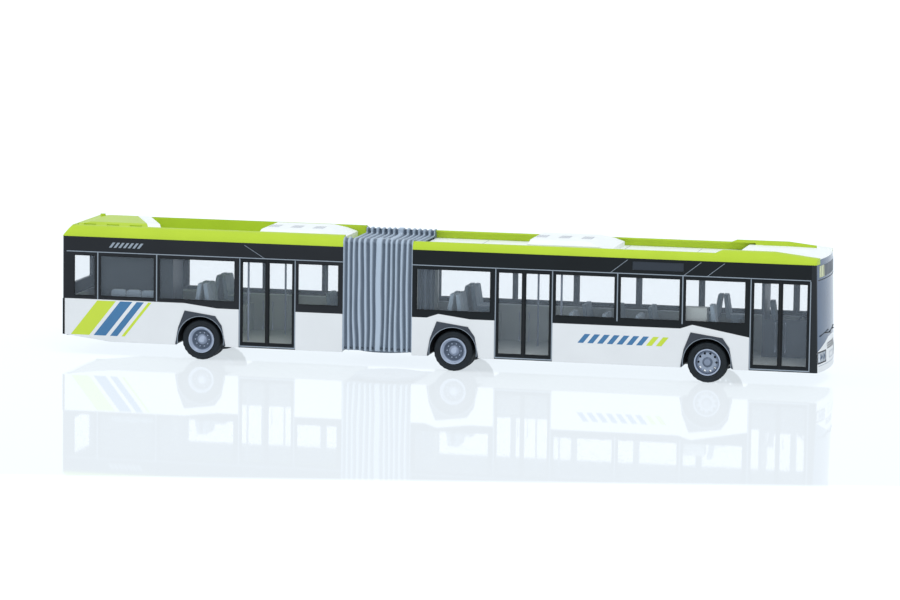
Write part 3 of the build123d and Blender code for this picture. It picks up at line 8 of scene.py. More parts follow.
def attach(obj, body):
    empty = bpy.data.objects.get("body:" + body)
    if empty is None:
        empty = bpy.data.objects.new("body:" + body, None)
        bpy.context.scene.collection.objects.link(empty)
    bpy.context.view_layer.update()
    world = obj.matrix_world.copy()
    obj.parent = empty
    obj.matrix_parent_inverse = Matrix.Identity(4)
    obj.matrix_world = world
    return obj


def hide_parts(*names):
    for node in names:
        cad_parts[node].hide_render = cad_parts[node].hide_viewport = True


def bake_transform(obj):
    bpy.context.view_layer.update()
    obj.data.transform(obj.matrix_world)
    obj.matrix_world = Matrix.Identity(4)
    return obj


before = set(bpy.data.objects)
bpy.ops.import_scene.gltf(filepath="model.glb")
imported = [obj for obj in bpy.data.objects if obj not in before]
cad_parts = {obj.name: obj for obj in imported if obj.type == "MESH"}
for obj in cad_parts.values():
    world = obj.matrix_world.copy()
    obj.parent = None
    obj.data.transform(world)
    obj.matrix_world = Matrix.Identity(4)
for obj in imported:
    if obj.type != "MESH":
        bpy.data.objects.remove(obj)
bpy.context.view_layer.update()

# Lengths below are millimetres in the part's own frame; meshes are scaled to metres when they are made
MM = 0.001

# The kerb side, where the doors are, and the road side
SIDES = (-1, 1)

# Half the width over the side walls, the doors' face, and how far thin strips stand out and sink in
HALF = 14.65
DOOR_FACE = 14.5
PROUD = 0.04
THIN_PROUD = 0.02
SINK = 0.05
LINE_BEVEL = 0.02

FRONT_AXLE_X, MIDDLE_AXLE_X, REAR_AXLE_X = 72.35, 4.55, -64.45
AXLE_Z = 5.4
FRONT_CAR_END, REAR_CAR_END = -6.6, -25.5
NOSE_X, TAIL_X = 102.95, -102.95
FASCIA_Z = 32.0
DOORS = {"front_car": [(83.4, 99.3), (15.7, 31.2)], "rear_car": [(-53.9, -38.4)]}


# Materials

FOLD_HEIGHT = "fold_height"
POST_FADE = (13.7, 14.35)
BUMP_HEIGHT = 0.1
BEVEL_SAMPLES = 4
EDGE_COSINES = (0.995, 0.8)
EDGE_SHARE = 0.6
FINE_GRAIN = 9.0
DISPLAY_PITCH = 0.32
# Strength of the display's painted glow; the model's display is no lamp
DISPLAY_PAINTED_GLOW = 0.3
DISPLAY_LIT_Y = (-8.5, -8.1)


def linear(red, green, blue, alpha=1.0):
    """Scene colour from the three values of a screen colour."""
    values = [v / 255 for v in (red, green, blue)]
    curve = [v / 12.92 if v <= 0.04045 else ((v + 0.055) / 1.055) ** 2.4 for v in values]
    return (*curve, alpha)


def shade(colour, gain):
    """A colour made lighter or darker, never above white."""
    return (*[min(1.0, v * gain) for v in colour[:3]], colour[3])


def in_metres(lengths):
    """Lengths in millimetres made metres."""
    return [length * MM for length in lengths]


class Look:
    """Node tree of a material or a world; a source is a plain value or another node's output."""

    def __init__(self, owner, last):
        owner.use_nodes = True
        self.owner = owner
        self.tree = owner.node_tree
        self.last = self.tree.nodes[last]

    def feed(self, target, source):
        """Give an input its source."""
        if isinstance(source, bpy.types.NodeSocket):
            self.tree.links.new(source, target)
        else:
            target.default_value = source

    def feed_named(self, node, sources):
        """Give several inputs their sources by name."""
        for name, source in sources.items():
            self.feed(node.inputs[name.replace("_", " ")], source)

    def add(self, kind, **sources):
        """New node with some inputs fed."""
        node = self.tree.nodes.new(kind)
        self.feed_named(node, sources)
        return node

    def maths(self, kind, operation, *sources):
        """Outputs of a maths node with its inputs fed in order."""
        node = self.tree.nodes.new(kind)
        node.operation = operation
        for target, source in zip(node.inputs, sources):
            self.feed(target, source)
        return node.outputs

    def place(self):
        """Object coordinates."""
        return self.add("ShaderNodeTexCoord").outputs["Object"]

    def noise(self, scale, detail=3.0, place=None):
        """Noise with so many features a millimetre."""
        node = self.add("ShaderNodeTexNoise", Vector=place or self.place(), Scale=scale / MM, Detail=detail)
        return node.outputs["Fac"]

    def ramp(self, factor, stops):
        """Colour ramp over a factor."""
        ramp = self.add("ShaderNodeValToRGB", Fac=factor)
        elements = ramp.color_ramp.elements
        while len(elements) < len(stops):
            elements.new(0.5)
        for element, (position, colour) in zip(elements, stops):
            element.position = position
            element.color = colour
        return ramp.outputs["Color"]

    def tones(self, factor, colour, gains, places=(0.3, 0.7)):
        """One colour from a darker to a paler tone."""
        return self.ramp(factor, [(place, shade(colour, gain)) for place, gain in zip(places, gains)])

    def span(self, value, ends, limits=(0.0, 1.0)):
        """Map a value between two limits to one between two ends."""
        (low, high), (first, last) = ends, limits
        span = self.add(
            "ShaderNodeMapRange", Value=value, From_Min=first, From_Max=last, To_Min=low, To_Max=high,
        )
        return span.outputs["Result"]

    def mix(self, share, first, second):
        """Blend of two colours."""
        return self.add("ShaderNodeMixRGB", Fac=share, Color1=first, Color2=second).outputs["Color"]

    def relief(self, height, strength, rounding=0.0):
        """Bump on top of softly rounded edges; gives back the rounded normal."""
        bump = self.add("ShaderNodeBump", Height=height, Strength=strength, Distance=BUMP_HEIGHT * MM)
        rounded = None
        if rounding:
            bevel = self.add("ShaderNodeBevel", Radius=rounding * MM)
            bevel.samples = BEVEL_SAMPLES
            rounded = bevel.outputs["Normal"]
            self.feed(bump.inputs["Normal"], rounded)
        self.feed(self.last.inputs["Normal"], bump.outputs["Normal"])
        return rounded

    def edge_tone(self, rounded, colour, edge_colour):
        """Colour that turns to another where an edge is rounded."""
        flat = self.add("ShaderNodeNewGeometry").outputs["Normal"]
        likeness = self.maths("ShaderNodeVectorMath", "DOT_PRODUCT", rounded, flat)["Value"]
        return self.mix(self.span(likeness, (0.0, EDGE_SHARE), EDGE_COSINES), colour, edge_colour)

    def finish(self, **sources):
        """Feed the last node and give back the material or world."""
        self.feed_named(self.last, sources)
        return self.owner


def new_look(name):
    """Look of a new material."""
    return Look(bpy.data.materials.new(name), "Principled BSDF")


def plastic(name, colour, rough=(0.3, 0.42), mottle=0.05, rounding=0.12, coat=0.0, metal=0.0, specular=0.5,
            edge=1.12):
    """Moulded or painted plastic: slow tone changes, fine grain, and rounded edges worn to another tone."""
    look = new_look(name)
    fine = look.noise(FINE_GRAIN)
    rounded = look.relief(fine, 0.12, rounding)
    tone = look.tones(look.noise(0.12, 4.0), colour, (1 - mottle, 1 + mottle / 2))
    if rounding:
        tone = look.edge_tone(rounded, tone, shade(colour, edge))
    return look.finish(
        Base_Color=tone, Roughness=look.span(fine, rough), Metallic=metal, Coat_Weight=coat,
        Coat_Roughness=0.12, Specular_IOR_Level=specular,
    )


def clear(name, colour, alpha):
    """Clear moulded plastic, thin enough to see through."""
    look = new_look(name)
    haze = look.noise(0.25, 2.0)
    look.relief(look.noise(0.35, 1.0), 0.05)
    return look.finish(
        Base_Color=look.tones(haze, colour, (0.93, 1.05)), Roughness=look.span(haze, (0.03, 0.09)),
        Alpha=alpha, IOR=1.45, Specular_IOR_Level=0.5,
    )


def rubber(name, colour):
    """Matt rubber with a bloom of dust."""
    look = new_look(name)
    fine = look.noise(14.0)
    look.relief(fine, 0.3, 0.08)
    return look.finish(
        Base_Color=look.tones(look.noise(0.5, 6.0), colour, (0.8, 1.35), (0.35, 0.68)),
        Roughness=look.span(fine, (0.6, 0.8)), Specular_IOR_Level=0.35,
    )


def woven(name, colour, accent):
    """Seat shells with a fine two-tone weave."""
    look = new_look(name)
    fine = look.noise(10.0)
    look.relief(fine, 0.35, 0.25)
    weave = look.add("ShaderNodeTexChecker", Vector=look.place(), Scale=5 / MM, Color1=colour, Color2=accent)
    return look.finish(
        Base_Color=weave.outputs["Color"], Roughness=look.span(fine, (0.6, 0.85)), Sheen_Weight=0.2,
    )


def pleated(name, groove, ridge):
    """Rubber cloth, pale on the ridges of its folds and dark in the grooves: painted light on the ridges and
    painted shade in the grooves, set by the fold height, with a little dust.
    """
    look = new_look(name)
    height = look.add("ShaderNodeAttribute")
    height.attribute_name = FOLD_HEIGHT
    dust = look.noise(0.6, 5.0)
    # Fold height with a little dust; it sets the painted shade in the grooves and the painted light on the
    # ridges
    dust_and_shade = look.maths("ShaderNodeMath", "MULTIPLY_ADD", dust, 0.16, height.outputs["Fac"])[0]
    weave = look.noise(16.0)
    look.relief(weave, 0.2)
    return look.finish(
        Base_Color=look.ramp(dust_and_shade, [(0.12, groove), (0.55, shade(ridge, 0.62)), (0.98, ridge)]),
        Roughness=look.span(weave, (0.5, 0.7)), Specular_IOR_Level=0.3,
    )


def wheel_metal(name, axle_x, stops):
    """Painted wheel whose tone changes from the hub outwards, as (radius, colour); its darker rings are
    painted shade where the wheel is recessed.
    """
    look = new_look(name)
    hub = in_metres((axle_x, 0, AXLE_Z))
    from_hub = look.maths("ShaderNodeVectorMath", "SUBTRACT", look.place(), hub)["Vector"]
    flat = look.maths("ShaderNodeVectorMath", "MULTIPLY", from_hub, (1, 0, 1))["Vector"]
    radius = look.maths("ShaderNodeVectorMath", "LENGTH", flat)["Value"]
    share = look.span(radius, (0.0, 1.0), in_metres((0.0, RIM_RADIUS)))
    # Tones by radius; the darker rings are painted shade in the wheel's recesses
    paint = look.ramp(share, [(r / RIM_RADIUS, colour) for r, colour in stops])
    dust_and_shade = look.add("ShaderNodeMixRGB", Fac=0.3, Color1=paint, Color2=look.noise(0.9, 4.0))
    dust_and_shade.blend_type = "MULTIPLY"
    fine = look.noise(FINE_GRAIN)
    look.relief(fine, 0.1, 0.06)
    return look.finish(
        Base_Color=dust_and_shade.outputs["Color"], Roughness=look.span(fine, (0.3, 0.42)), Metallic=0.25,
        Specular_IOR_Level=0.4,
    )


def screen(name, colour, post_colour):
    """Dark gloss windscreen whose corner posts are near black; its blue-grey middle is partly its own dark
    tint and partly a painted reflection.
    """
    look = new_look(name)
    split = look.add("ShaderNodeSeparateXYZ", Vector=look.place())
    across = look.maths("ShaderNodeMath", "ABSOLUTE", split.outputs["Y"])[0]
    share = look.span(across, (0.0, 1.0), in_metres(POST_FADE))
    tone = look.tones(look.noise(0.1, 2.0), colour, (0.88, 1.12))
    fine = look.noise(FINE_GRAIN)
    look.relief(fine, 0.03, 0.12)
    return look.finish(
        Base_Color=look.mix(share, tone, post_colour), Roughness=look.span(fine, (0.12, 0.2)),
        Specular_IOR_Level=0.26,
    )


def brushed(name, colour):
    """Turned steel with fine lines round its length."""
    look = new_look(name)
    stretch = look.add("ShaderNodeMapping", Vector=look.place(), Scale=(1.0, 14.0, 1.0))
    lines = look.noise(0.8, 4.0, stretch.outputs["Vector"])
    look.relief(lines, 0.1, 0.05)
    return look.finish(
        Base_Color=look.tones(lines, colour, (0.85, 1.1)), Roughness=look.span(lines, (0.25, 0.4)),
        Metallic=1.0,
    )


def dot_display(name, colour, glow):
    """Grid of dots behind dark glass, lit at one end and fading between two places across the bus; the whole
    picture has a painted glow, though the display is no lamp.
    """
    look = new_look(name)
    dots = look.add(
        "ShaderNodeTexVoronoi", Vector=look.place(), Scale=1 / (DISPLAY_PITCH * MM), Randomness=0.0,
    )
    distance = dots.outputs["Distance"]
    split = look.add("ShaderNodeSeparateXYZ", Vector=look.place())
    lit = look.span(split.outputs["Y"], (1.0, 0.0), in_metres(DISPLAY_LIT_Y))
    picture = look.mix(lit, colour, look.ramp(distance, [(0.36, glow), (0.5, shade(glow, 0.4))]))
    return look.finish(
        Base_Color=picture, Emission_Color=picture, Emission_Strength=DISPLAY_PAINTED_GLOW,
        Roughness=look.span(distance, (0.3, 0.6)),
    )


RIM_RADIUS = 3.5
RIM_PALE = linear(178, 190, 210)
RIM_MID = linear(140, 152, 172)
RIM_SOFT = linear(158, 170, 188)
RIM_DARK = linear(96, 108, 126)
# Tones of the wheels by radius from the hub; the darker rings are painted shade in each wheel's recessed
# rings
DISC_WHEEL = [
    (0.0, RIM_MID), (0.75, RIM_MID), (0.9, RIM_DARK), (1.25, RIM_DARK), (1.45, RIM_SOFT), (2.9, RIM_SOFT),
    (3.05, RIM_DARK), (3.2, RIM_PALE),
]
DEEP_WHEEL = [(0.0, RIM_PALE), (1.25, RIM_PALE), (1.45, RIM_DARK), (2.6, RIM_DARK), (2.8, RIM_PALE)]

# Plastics, as screen colour and what differs from the usual
PLASTICS = {
    "white_body": ((225, 227, 228), dict(coat=0.2, mottle=0.025, edge=0.95)),
    "white_roof": ((246, 249, 246), dict(rough=(0.4, 0.5), mottle=0.03, edge=0.95)),
    "green_roof": ((184, 209, 60), dict(mottle=0.04, specular=0.12)),
    "green_deck": ((172, 199, 52), dict(rough=(0.4, 0.52), mottle=0.06, specular=0.12)),
    "black_band": ((21, 26, 29), dict(rough=(0.3, 0.38), mottle=0.12, specular=0.16, edge=1.7)),
    "rear_band": ((34, 37, 41), dict(rough=(0.3, 0.38), mottle=0.1, specular=0.16, edge=1.5)),
    "door_black": ((22, 27, 31), dict(rough=(0.3, 0.4), mottle=0.12, specular=0.16, edge=1.7)),
    "lamp_red": ((176, 26, 24), dict(rough=(0.12, 0.2), mottle=0.1, coat=0.5)),
    "display_grey": ((46, 53, 62), dict(rough=(0.3, 0.4), specular=0.25)),
    "dark_trim": ((58, 64, 73), dict(rough=(0.4, 0.55), mottle=0.08, specular=0.3, edge=1.5)),
    # Near black of the arch shells: partly dark liners, partly painted shade inside the arches
    "arch_shell": ((24, 28, 34), dict(rough=(0.6, 0.8), mottle=0.1, specular=0.15)),
    "interior_grey": ((166, 170, 166), dict(rough=(0.5, 0.65), mottle=0.06)),
    "pole_grey": ((124, 132, 148), dict(rough=(0.25, 0.35))),
    "mid_grey": ((112, 124, 138), dict(rough=(0.45, 0.6), mottle=0.06)),
    "cab_dark": ((56, 66, 78), dict(rough=(0.45, 0.6), mottle=0.08)),
    "pale_grey": ((220, 226, 228), dict(rough=(0.4, 0.5), rounding=0.06)),
    "silver_line": ((146, 157, 168), dict(rough=(0.25, 0.35), mottle=0.04, metal=0.2, rounding=0.0)),
    "panel_line": ((150, 160, 170), dict(rough=(0.5, 0.6), rounding=0.0)),
    "lime_paint": ((196, 216, 52), dict(coat=0.2, mottle=0.03, rounding=0.0)),
    "blue_paint": ((52, 112, 158), dict(coat=0.2, mottle=0.03, rounding=0.0)),
    "wheel_paint": ((178, 190, 210), dict(metal=0.25, specular=0.4, rounding=0.05)),
    # Grey of the grille mesh: partly the mesh's own tone, partly painted shade in the grille slots
    "grille_mesh": ((148, 152, 172), dict(rough=(0.5, 0.6), rounding=0.0)),
    "lamp_ring": ((150, 160, 172), dict(rough=(0.15, 0.25), metal=0.7, rounding=0.0)),
    "pale_lens": ((196, 204, 214), dict(rough=(0.12, 0.2), coat=0.5, rounding=0.0)),
}
FINISHES = {name: plastic(name, linear(*colour), **options) for name, (colour, options) in PLASTICS.items()}

# Other finishes, as what makes them and its values
OTHERS = {
    # Screen tone lifted to blue-grey: partly the screen's own dark tint, partly a painted reflection of the
    # bluish surroundings
    "dark_screen": (screen, linear(62, 86, 114), linear(24, 30, 34)),
    "clear_panes": (clear, linear(188, 202, 216), 0.078),
    "lamp_clear": (clear, linear(205, 214, 224), 0.5),
    "display_lit": (dot_display, linear(40, 52, 64), linear(204, 211, 168)),
    "seat_blue": (woven, linear(124, 138, 148), linear(106, 120, 132)),
    # Bellows tones: painted shade in the fold grooves and painted light on the ridges
    "bellows_grey": (pleated, linear(97, 109, 124), linear(175, 189, 204)),
    "axle_steel": (brushed, linear(170, 172, 175)),
    "rim_silver": (wheel_metal, FRONT_AXLE_X, DISC_WHEEL),
    "rim_silver_middle": (wheel_metal, MIDDLE_AXLE_X, DEEP_WHEEL),
    "rim_silver_rear": (wheel_metal, REAR_AXLE_X, DEEP_WHEEL),
    "tyre_black": (rubber, linear(19, 27, 33)),
    "rubber_line": (rubber, linear(17, 20, 23)),
}
for name, (make, *values) in OTHERS.items():
    FINISHES[name] = make(name, *values)

NODE_FINISHES = {
    "white_body": ["front_skirt_walls", "rear_skirt_walls", "front_panel"],
    "white_roof": ["front_deck", "front_air_unit", "rear_air_unit", "front_roof_cover", "hood_band"],
    "green_roof": ["front_coamings", "rear_coamings", "rear_hood"],
    "green_deck": ["rear_deck"],
    "black_band": ["front_window_band"],
    "rear_band": ["rear_window_band"],
    "door_black": ["front_door", "middle_door", "rear_door"],
    "dark_screen": ["screen_mask"],
    "clear_panes": ["front_glazing", "rear_glazing"],
    "lamp_clear": ["headlamps"],
    "lamp_red": ["tail_lamps"],
    "display_grey": ["side_display"],
    "display_lit": ["front_display"],
    "dark_trim": ["front_arch_trims", "rear_arch_trims"],
    "mid_grey": ["turntable", "drawbar"],
    "interior_grey": ["front_floor", "rear_floor", "front_end_frame", "rear_end_frame"],
    "seat_blue": ["front_seats", "rear_seats", "driver_seat"],
    "pole_grey": ["front_poles", "rear_poles"],
    "cab_dark": ["driver_cab", "steering_wheel", "engine_tower"],
    "bellows_grey": ["bellows"],
    "axle_steel": ["front_axle", "middle_axle", "rear_axle"],
    "rim_silver": ["front_rims"],
    "rim_silver_middle": ["middle_rims"],
    "rim_silver_rear": ["rear_rims"],
    "tyre_black": ["front_tyres", "middle_tyres", "rear_tyres"],
}
for finish, names in NODE_FINISHES.items():
    for name in names:
        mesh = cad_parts[name].data
        mesh.materials.clear()
        mesh.materials.append(FINISHES[finish])


# Mesh helpers

def link_object(name, data):
    """New object of the scene."""
    item = bpy.data.objects.new(name, data)
    bpy.context.scene.collection.objects.link(item)
    return item


def make_piece(name, mesh_data, finish, smooth=False):
    """Turn a finished mesh, in millimetres, into an object of the scene."""
    bmesh.ops.recalc_face_normals(mesh_data, faces=mesh_data.faces)
    bmesh.ops.scale(mesh_data, vec=(MM, MM, MM), verts=mesh_data.verts)
    mesh = bpy.data.meshes.new(name)
    mesh_data.to_mesh(mesh)
    mesh_data.free()
    mesh.materials.append(FINISHES[finish])
    piece = link_object(name, mesh)
    if smooth:
        mesh.shade_smooth()
    return piece


def join_rings(data, rings, closed=False, capped=True):
    """Faces between rings with equally many corners; the two ends are joined, capped or left open."""
    following = rings[1:] + rings[:1] if closed else rings[1:]
    for near, far in zip(rings, following):
        for j in range(len(near)):
            k = (j + 1) % len(near)
            data.faces.new((near[j], near[k], far[k], far[j]))
    if capped and not closed:
        data.faces.new(rings[0][::-1])
        data.faces.new(rings[-1])


def on_circle(radius, angle):
    """Two coordinates of a place on a circle."""
    return radius * math.cos(angle), radius * math.sin(angle)


def add_prism(data, outline, low, high, bevel=0.0):
    """Flat plate with an outline of (x, z), from one y to another, bevelled."""
    lower, upper = [[data.verts.new((x, y, z)) for x, z in outline] for y in (low, high)]
    faces = [data.faces.new(lower), data.faces.new(upper[::-1])]
    for i in range(len(outline)):
        j = (i + 1) % len(outline)
        faces.append(data.faces.new((lower[i], upper[i], upper[j], lower[j])))
    if bevel:
        edges = list({edge for face in faces for edge in face.edges})
        bmesh.ops.bevel(data, geom=edges, offset=bevel, segments=1, affect="EDGES", clamp_overlap=True)


def add_bar(data, x_range, y_range, z_range, bevel=0.05):
    """Bevelled bar between two places on each axis."""
    (x_low, x_high), (y_low, y_high), (z_low, z_high) = [sorted(pair) for pair in (x_range, y_range, z_range)]
    outline = [(x_low, z_low), (x_high, z_low), (x_high, z_high), (x_low, z_high)]
    add_prism(data, outline, y_low, y_high, bevel)


def build_bars(name, bars, finish, body, bevel=0.05):
    """Piece made of bars, each with its ranges along the three axes."""
    data = bmesh.new()
    for x_range, y_range, z_range in bars:
        add_bar(data, x_range, y_range, z_range, bevel)
    piece = make_piece(name, data, finish)
    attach(piece, body)


def add_turned(data, profile, centre, axis_y, segments):
    """Closed ring turned about a line along Y; profile is (radius, depth out from centre)."""
    rings = []
    for i in range(segments):
        ring = []
        for radius, depth in profile:
            across, up = on_circle(radius, math.tau * i / segments)
            ring.append(data.verts.new((centre[0] + across, centre[1] + axis_y * depth, centre[2] + up)))
        rings.append(ring)
    join_rings(data, rings, closed=True)
    return rings


def add_tube(data, points, radius, sides=8):
    """Round bar along a line of points, closed at both ends."""
    rings = []
    for i, point in enumerate(points):
        before = Vector(points[max(i - 1, 0)])
        after = Vector(points[min(i + 1, len(points) - 1)])
        turn = (after - before).to_track_quat("Z", "Y").to_matrix()
        corners = [Vector((*on_circle(radius, math.tau * j / sides), 0)) for j in range(sides)]
        rings.append([data.verts.new(Vector(point) + turn @ corner) for corner in corners])
    join_rings(data, rings)


def side_skin(side, proud=PROUD, face=HALF):
    """Depth range of a thin strip on a side wall, or on another face."""
    return side * (face - SINK), side * (face + proud)


# Bellows: rubber folds with a smooth middle band and a dished top, a little uneven as cloth is

FOLD_PITCH = 1.5
FOLD_COUNT = 6
FOLD_DEPTH = 0.75
TOP_FOLD_DEPTH = 0.4
BELLOWS_HALF = 14.45
BELLOWS_LOW, BELLOWS_TOP = 5.1, 34.5
DISH_HALF, DISH_LOW = 11.3, 33.0
BELLOWS_ROUND = 1.5
HEM_LOW, HEM_INNER = 4.35, 12.6
DISH_ROUND = 0.45
BELLOWS_SKIN = 0.3
STEPS_A_FOLD = 8
SECTION_STEP = 1.2
RIDGE_SHARE = 0.06
GROOVE_SHARE = 0.38
ARC_STEPS = 5

# How far the folds wander and the cloth hangs slack, with the features a millimetre and a shift of each noise
WANDER, WANDER_SCALES, WANDER_SHIFT = 0.5, (0.25, 0.05, 0.07), 3
SLACK, SLACK_SCALES, SLACK_SHIFT = 0.12, (0.3, 0.2, 0.2), 7

# Corners of the section as (y, z, rounding), anticlockwise seen from the nose; the dish is cut in from above
SECTION_CORNERS = [
    (BELLOWS_HALF, HEM_LOW, DISH_ROUND), (BELLOWS_HALF, BELLOWS_TOP, BELLOWS_ROUND),
    (DISH_HALF, BELLOWS_TOP, DISH_ROUND), (DISH_HALF, DISH_LOW, DISH_ROUND),
    (-DISH_HALF, DISH_LOW, DISH_ROUND), (-DISH_HALF, BELLOWS_TOP, DISH_ROUND),
    (-BELLOWS_HALF, BELLOWS_TOP, BELLOWS_ROUND), (-BELLOWS_HALF, HEM_LOW, DISH_ROUND),
    (-HEM_INNER, HEM_LOW, DISH_ROUND / 2), (-HEM_INNER, BELLOWS_LOW, DISH_ROUND / 2),
    (HEM_INNER, BELLOWS_LOW, DISH_ROUND / 2), (HEM_INNER, HEM_LOW, DISH_ROUND / 2),
]


def rise_height(x):
    """Height of the cloth at a place along the bellows, from 0 in a groove to 1 on a ridge."""
    run = FOLD_COUNT * FOLD_PITCH
    from_end = min(x - REAR_CAR_END, FRONT_CAR_END - x)
    if from_end > run:
        return 1.0
    phase = 0.5 - abs(from_end / FOLD_PITCH % 1 - 0.5)
    share = (phase - RIDGE_SHARE) / (GROOVE_SHARE - RIDGE_SHARE)
    share = min(max(share, 0.0), 1.0)
    return 1 - share * share * (3 - 2 * share)


def section_points():
    """The section's outline as (y, z, outward y, outward z), with short steps along its straight runs."""
    count = len(SECTION_CORNERS)
    arcs = []
    for i, (y, z, size) in enumerate(SECTION_CORNERS):
        here = Vector((y, z))
        back = (Vector(SECTION_CORNERS[i - 1][:2]) - here).normalized()
        ahead = (Vector(SECTION_CORNERS[(i + 1) % count][:2]) - here).normalized()
        centre = here + (back + ahead) * size
        turn = 1 if back.x * ahead.y - back.y * ahead.x < 0 else -1
        arc = []
        for j in range(ARC_STEPS + 1):
            angle = math.pi / 2 * j / ARC_STEPS
            out = -(ahead * math.cos(angle) + back * math.sin(angle))
            arc.append((*(centre + out * size), *(out * turn)))
        arcs.append(arc)
    points = []
    for arc, following in zip(arcs, arcs[1:] + arcs[:1]):
        points += arc
        start, end = Vector(arc[-1][:2]), Vector(following[0][:2])
        steps = max(1, round((end - start).length / SECTION_STEP))
        for j in range(1, steps):
            points.append((*start.lerp(end, j / steps), *arc[-1][2:]))
    return points


def cloth_noise(place, scales, shift):
    """Slow noise over the cloth."""
    x, y, z = [value * scale for value, scale in zip(place, scales)]
    return noise.noise(Vector((x, y + shift, z)))


def build_bellows():
    """Two skins of folded cloth joined at both ends."""
    data = bmesh.new()
    # Fold height of each place, which the finish turns into painted shade in the grooves and painted light on
    # the ridges
    height_layer = data.verts.layers.float.new(FOLD_HEIGHT)
    length = FRONT_CAR_END - REAR_CAR_END
    steps = round(length / FOLD_PITCH * STEPS_A_FOLD)
    section = section_points()
    layers = []
    for skin in (0.0, BELLOWS_SKIN):
        rings = []
        for i in range(steps + 1):
            x = REAR_CAR_END + length * i / steps
            end_share = min(1.0, min(x - REAR_CAR_END, FRONT_CAR_END - x) / (2 * FOLD_PITCH))
            ring = []
            for y, z, out_y, out_z in section:
                wander = cloth_noise((x, y, z), WANDER_SCALES, WANDER_SHIFT) * WANDER * end_share
                height = rise_height(x + wander)
                slack = (0.5 + cloth_noise((x, y, z), SLACK_SCALES, SLACK_SHIFT)) * SLACK * end_share
                fold = TOP_FOLD_DEPTH if z > DISH_LOW + DISH_ROUND else FOLD_DEPTH
                if z < BELLOWS_LOW + DISH_ROUND and abs(y) < BELLOWS_HALF - DISH_ROUND:
                    fold = slack = 0.0
                depth = fold * (1 - height) + slack + skin
                vert = data.verts.new((x, y - depth * out_y, z - depth * out_z))
                vert[height_layer] = height
                ring.append(vert)
            rings.append(ring)
        join_rings(data, rings, capped=False)
        layers.append(rings)
    outer, inner = layers
    for end in (0, -1):
        join_rings(data, [outer[end], inner[end]], capped=False)
    piece = make_piece("bellows_folds", data, "bellows_grey", smooth=True)
    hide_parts("bellows")
    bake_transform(piece)


EAR_PLATE_THICK = 0.35
EAR_PLATE_Y = (11.45, 13.6)
EAR_PLATE_Z = (31.9, 34.2)


def build_ear_plates(name, car_end, inward, body):
    """Plates that close the bellows' two high sides where they meet one car's roof."""
    x_range = (car_end, car_end + inward * EAR_PLATE_THICK)
    bars = [(x_range, [side * y for y in EAR_PLATE_Y], EAR_PLATE_Z) for side in SIDES]
    build_bars(name, bars, "mid_grey", body, 0.0)


build_bellows()
build_ear_plates("front_ear_plates", FRONT_CAR_END, -1, "front_car")
build_ear_plates("rear_ear_plates", REAR_CAR_END, 1, "rear_car")


# Tyres with tread grooves, shoulder blocks and a raised side ring

TYRE_PROFILE = [
    (3.52, -0.3), (3.75, -0.12), (4.05, -0.05), (4.2, -0.12), (4.5, -0.12), (4.65, -0.03), (4.85, -0.02),
    (5.1, -0.12), (5.28, -0.34), (5.38, -0.62),
    (5.4, -0.98), (5.28, -1.0), (5.28, -1.12), (5.4, -1.14), (5.4, -1.52), (5.28, -1.54), (5.28, -1.66),
    (5.4, -1.68), (5.4, -2.06), (5.28, -2.08), (5.28, -2.2), (5.4, -2.22),
    (5.38, -2.58), (5.28, -2.86), (5.1, -3.08), (4.6, -3.18), (4.0, -3.15), (3.52, -2.9),
]

# Corners of the profile that are cut in between shoulder blocks, after the plain rings of each cycle
TREAD_NOTCHES = (8, 9, 22, 23)
NOTCH_CYCLE, NOTCH_PLAIN = 4, 2
NOTCH_DEPTH = 0.1
TYRE_SEGMENTS = 96
TYRE_SHARP_ANGLE = 35
TWIN_STEP = 3.8
TYRE_FACE_Y = 13.95


def build_tyres(name, axle_x, count, body):
    """Every tyre of one axle as one piece."""
    data = bmesh.new()
    for side in SIDES:
        for i in range(count):
            centre = (axle_x, side * (TYRE_FACE_Y - i * TWIN_STEP), AXLE_Z)
            rings = add_turned(data, TYRE_PROFILE, centre, side, TYRE_SEGMENTS)
            for j, ring in enumerate(rings):
                if j % NOTCH_CYCLE < NOTCH_PLAIN:
                    continue
                for k in TREAD_NOTCHES:
                    place = ring[k].co
                    out = Vector((place.x - centre[0], 0, place.z - centre[2])).normalized()
                    place -= out * NOTCH_DEPTH
    piece = make_piece(name, data, "tyre_black", smooth=True)
    piece.data.set_sharp_from_angle(angle=math.radians(TYRE_SHARP_ANGLE))
    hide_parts(body.replace("wheels", "tyres"))
    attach(piece, body)


build_tyres("front_tyre_set", FRONT_AXLE_X, 1, "front_wheels")
build_tyres("middle_tyre_set", MIDDLE_AXLE_X, 2, "middle_wheels")
build_tyres("rear_tyre_set", REAR_AXLE_X, 2, "rear_wheels")


# Coned dishes and wheel nuts in the deep wheels

DISH_PROFILE = [(3.14, -0.14), (3.14, -0.34), (2.4, -1.22), (2.24, -1.26), (2.24, -1.12), (2.34, -1.08)]
NUT_COUNT = 10
NUT_CIRCLE = 1.9
NUT_RADIUS = 0.17
NUT_DEPTH = (1.4, 0.98)
NUT_SIDES = 6


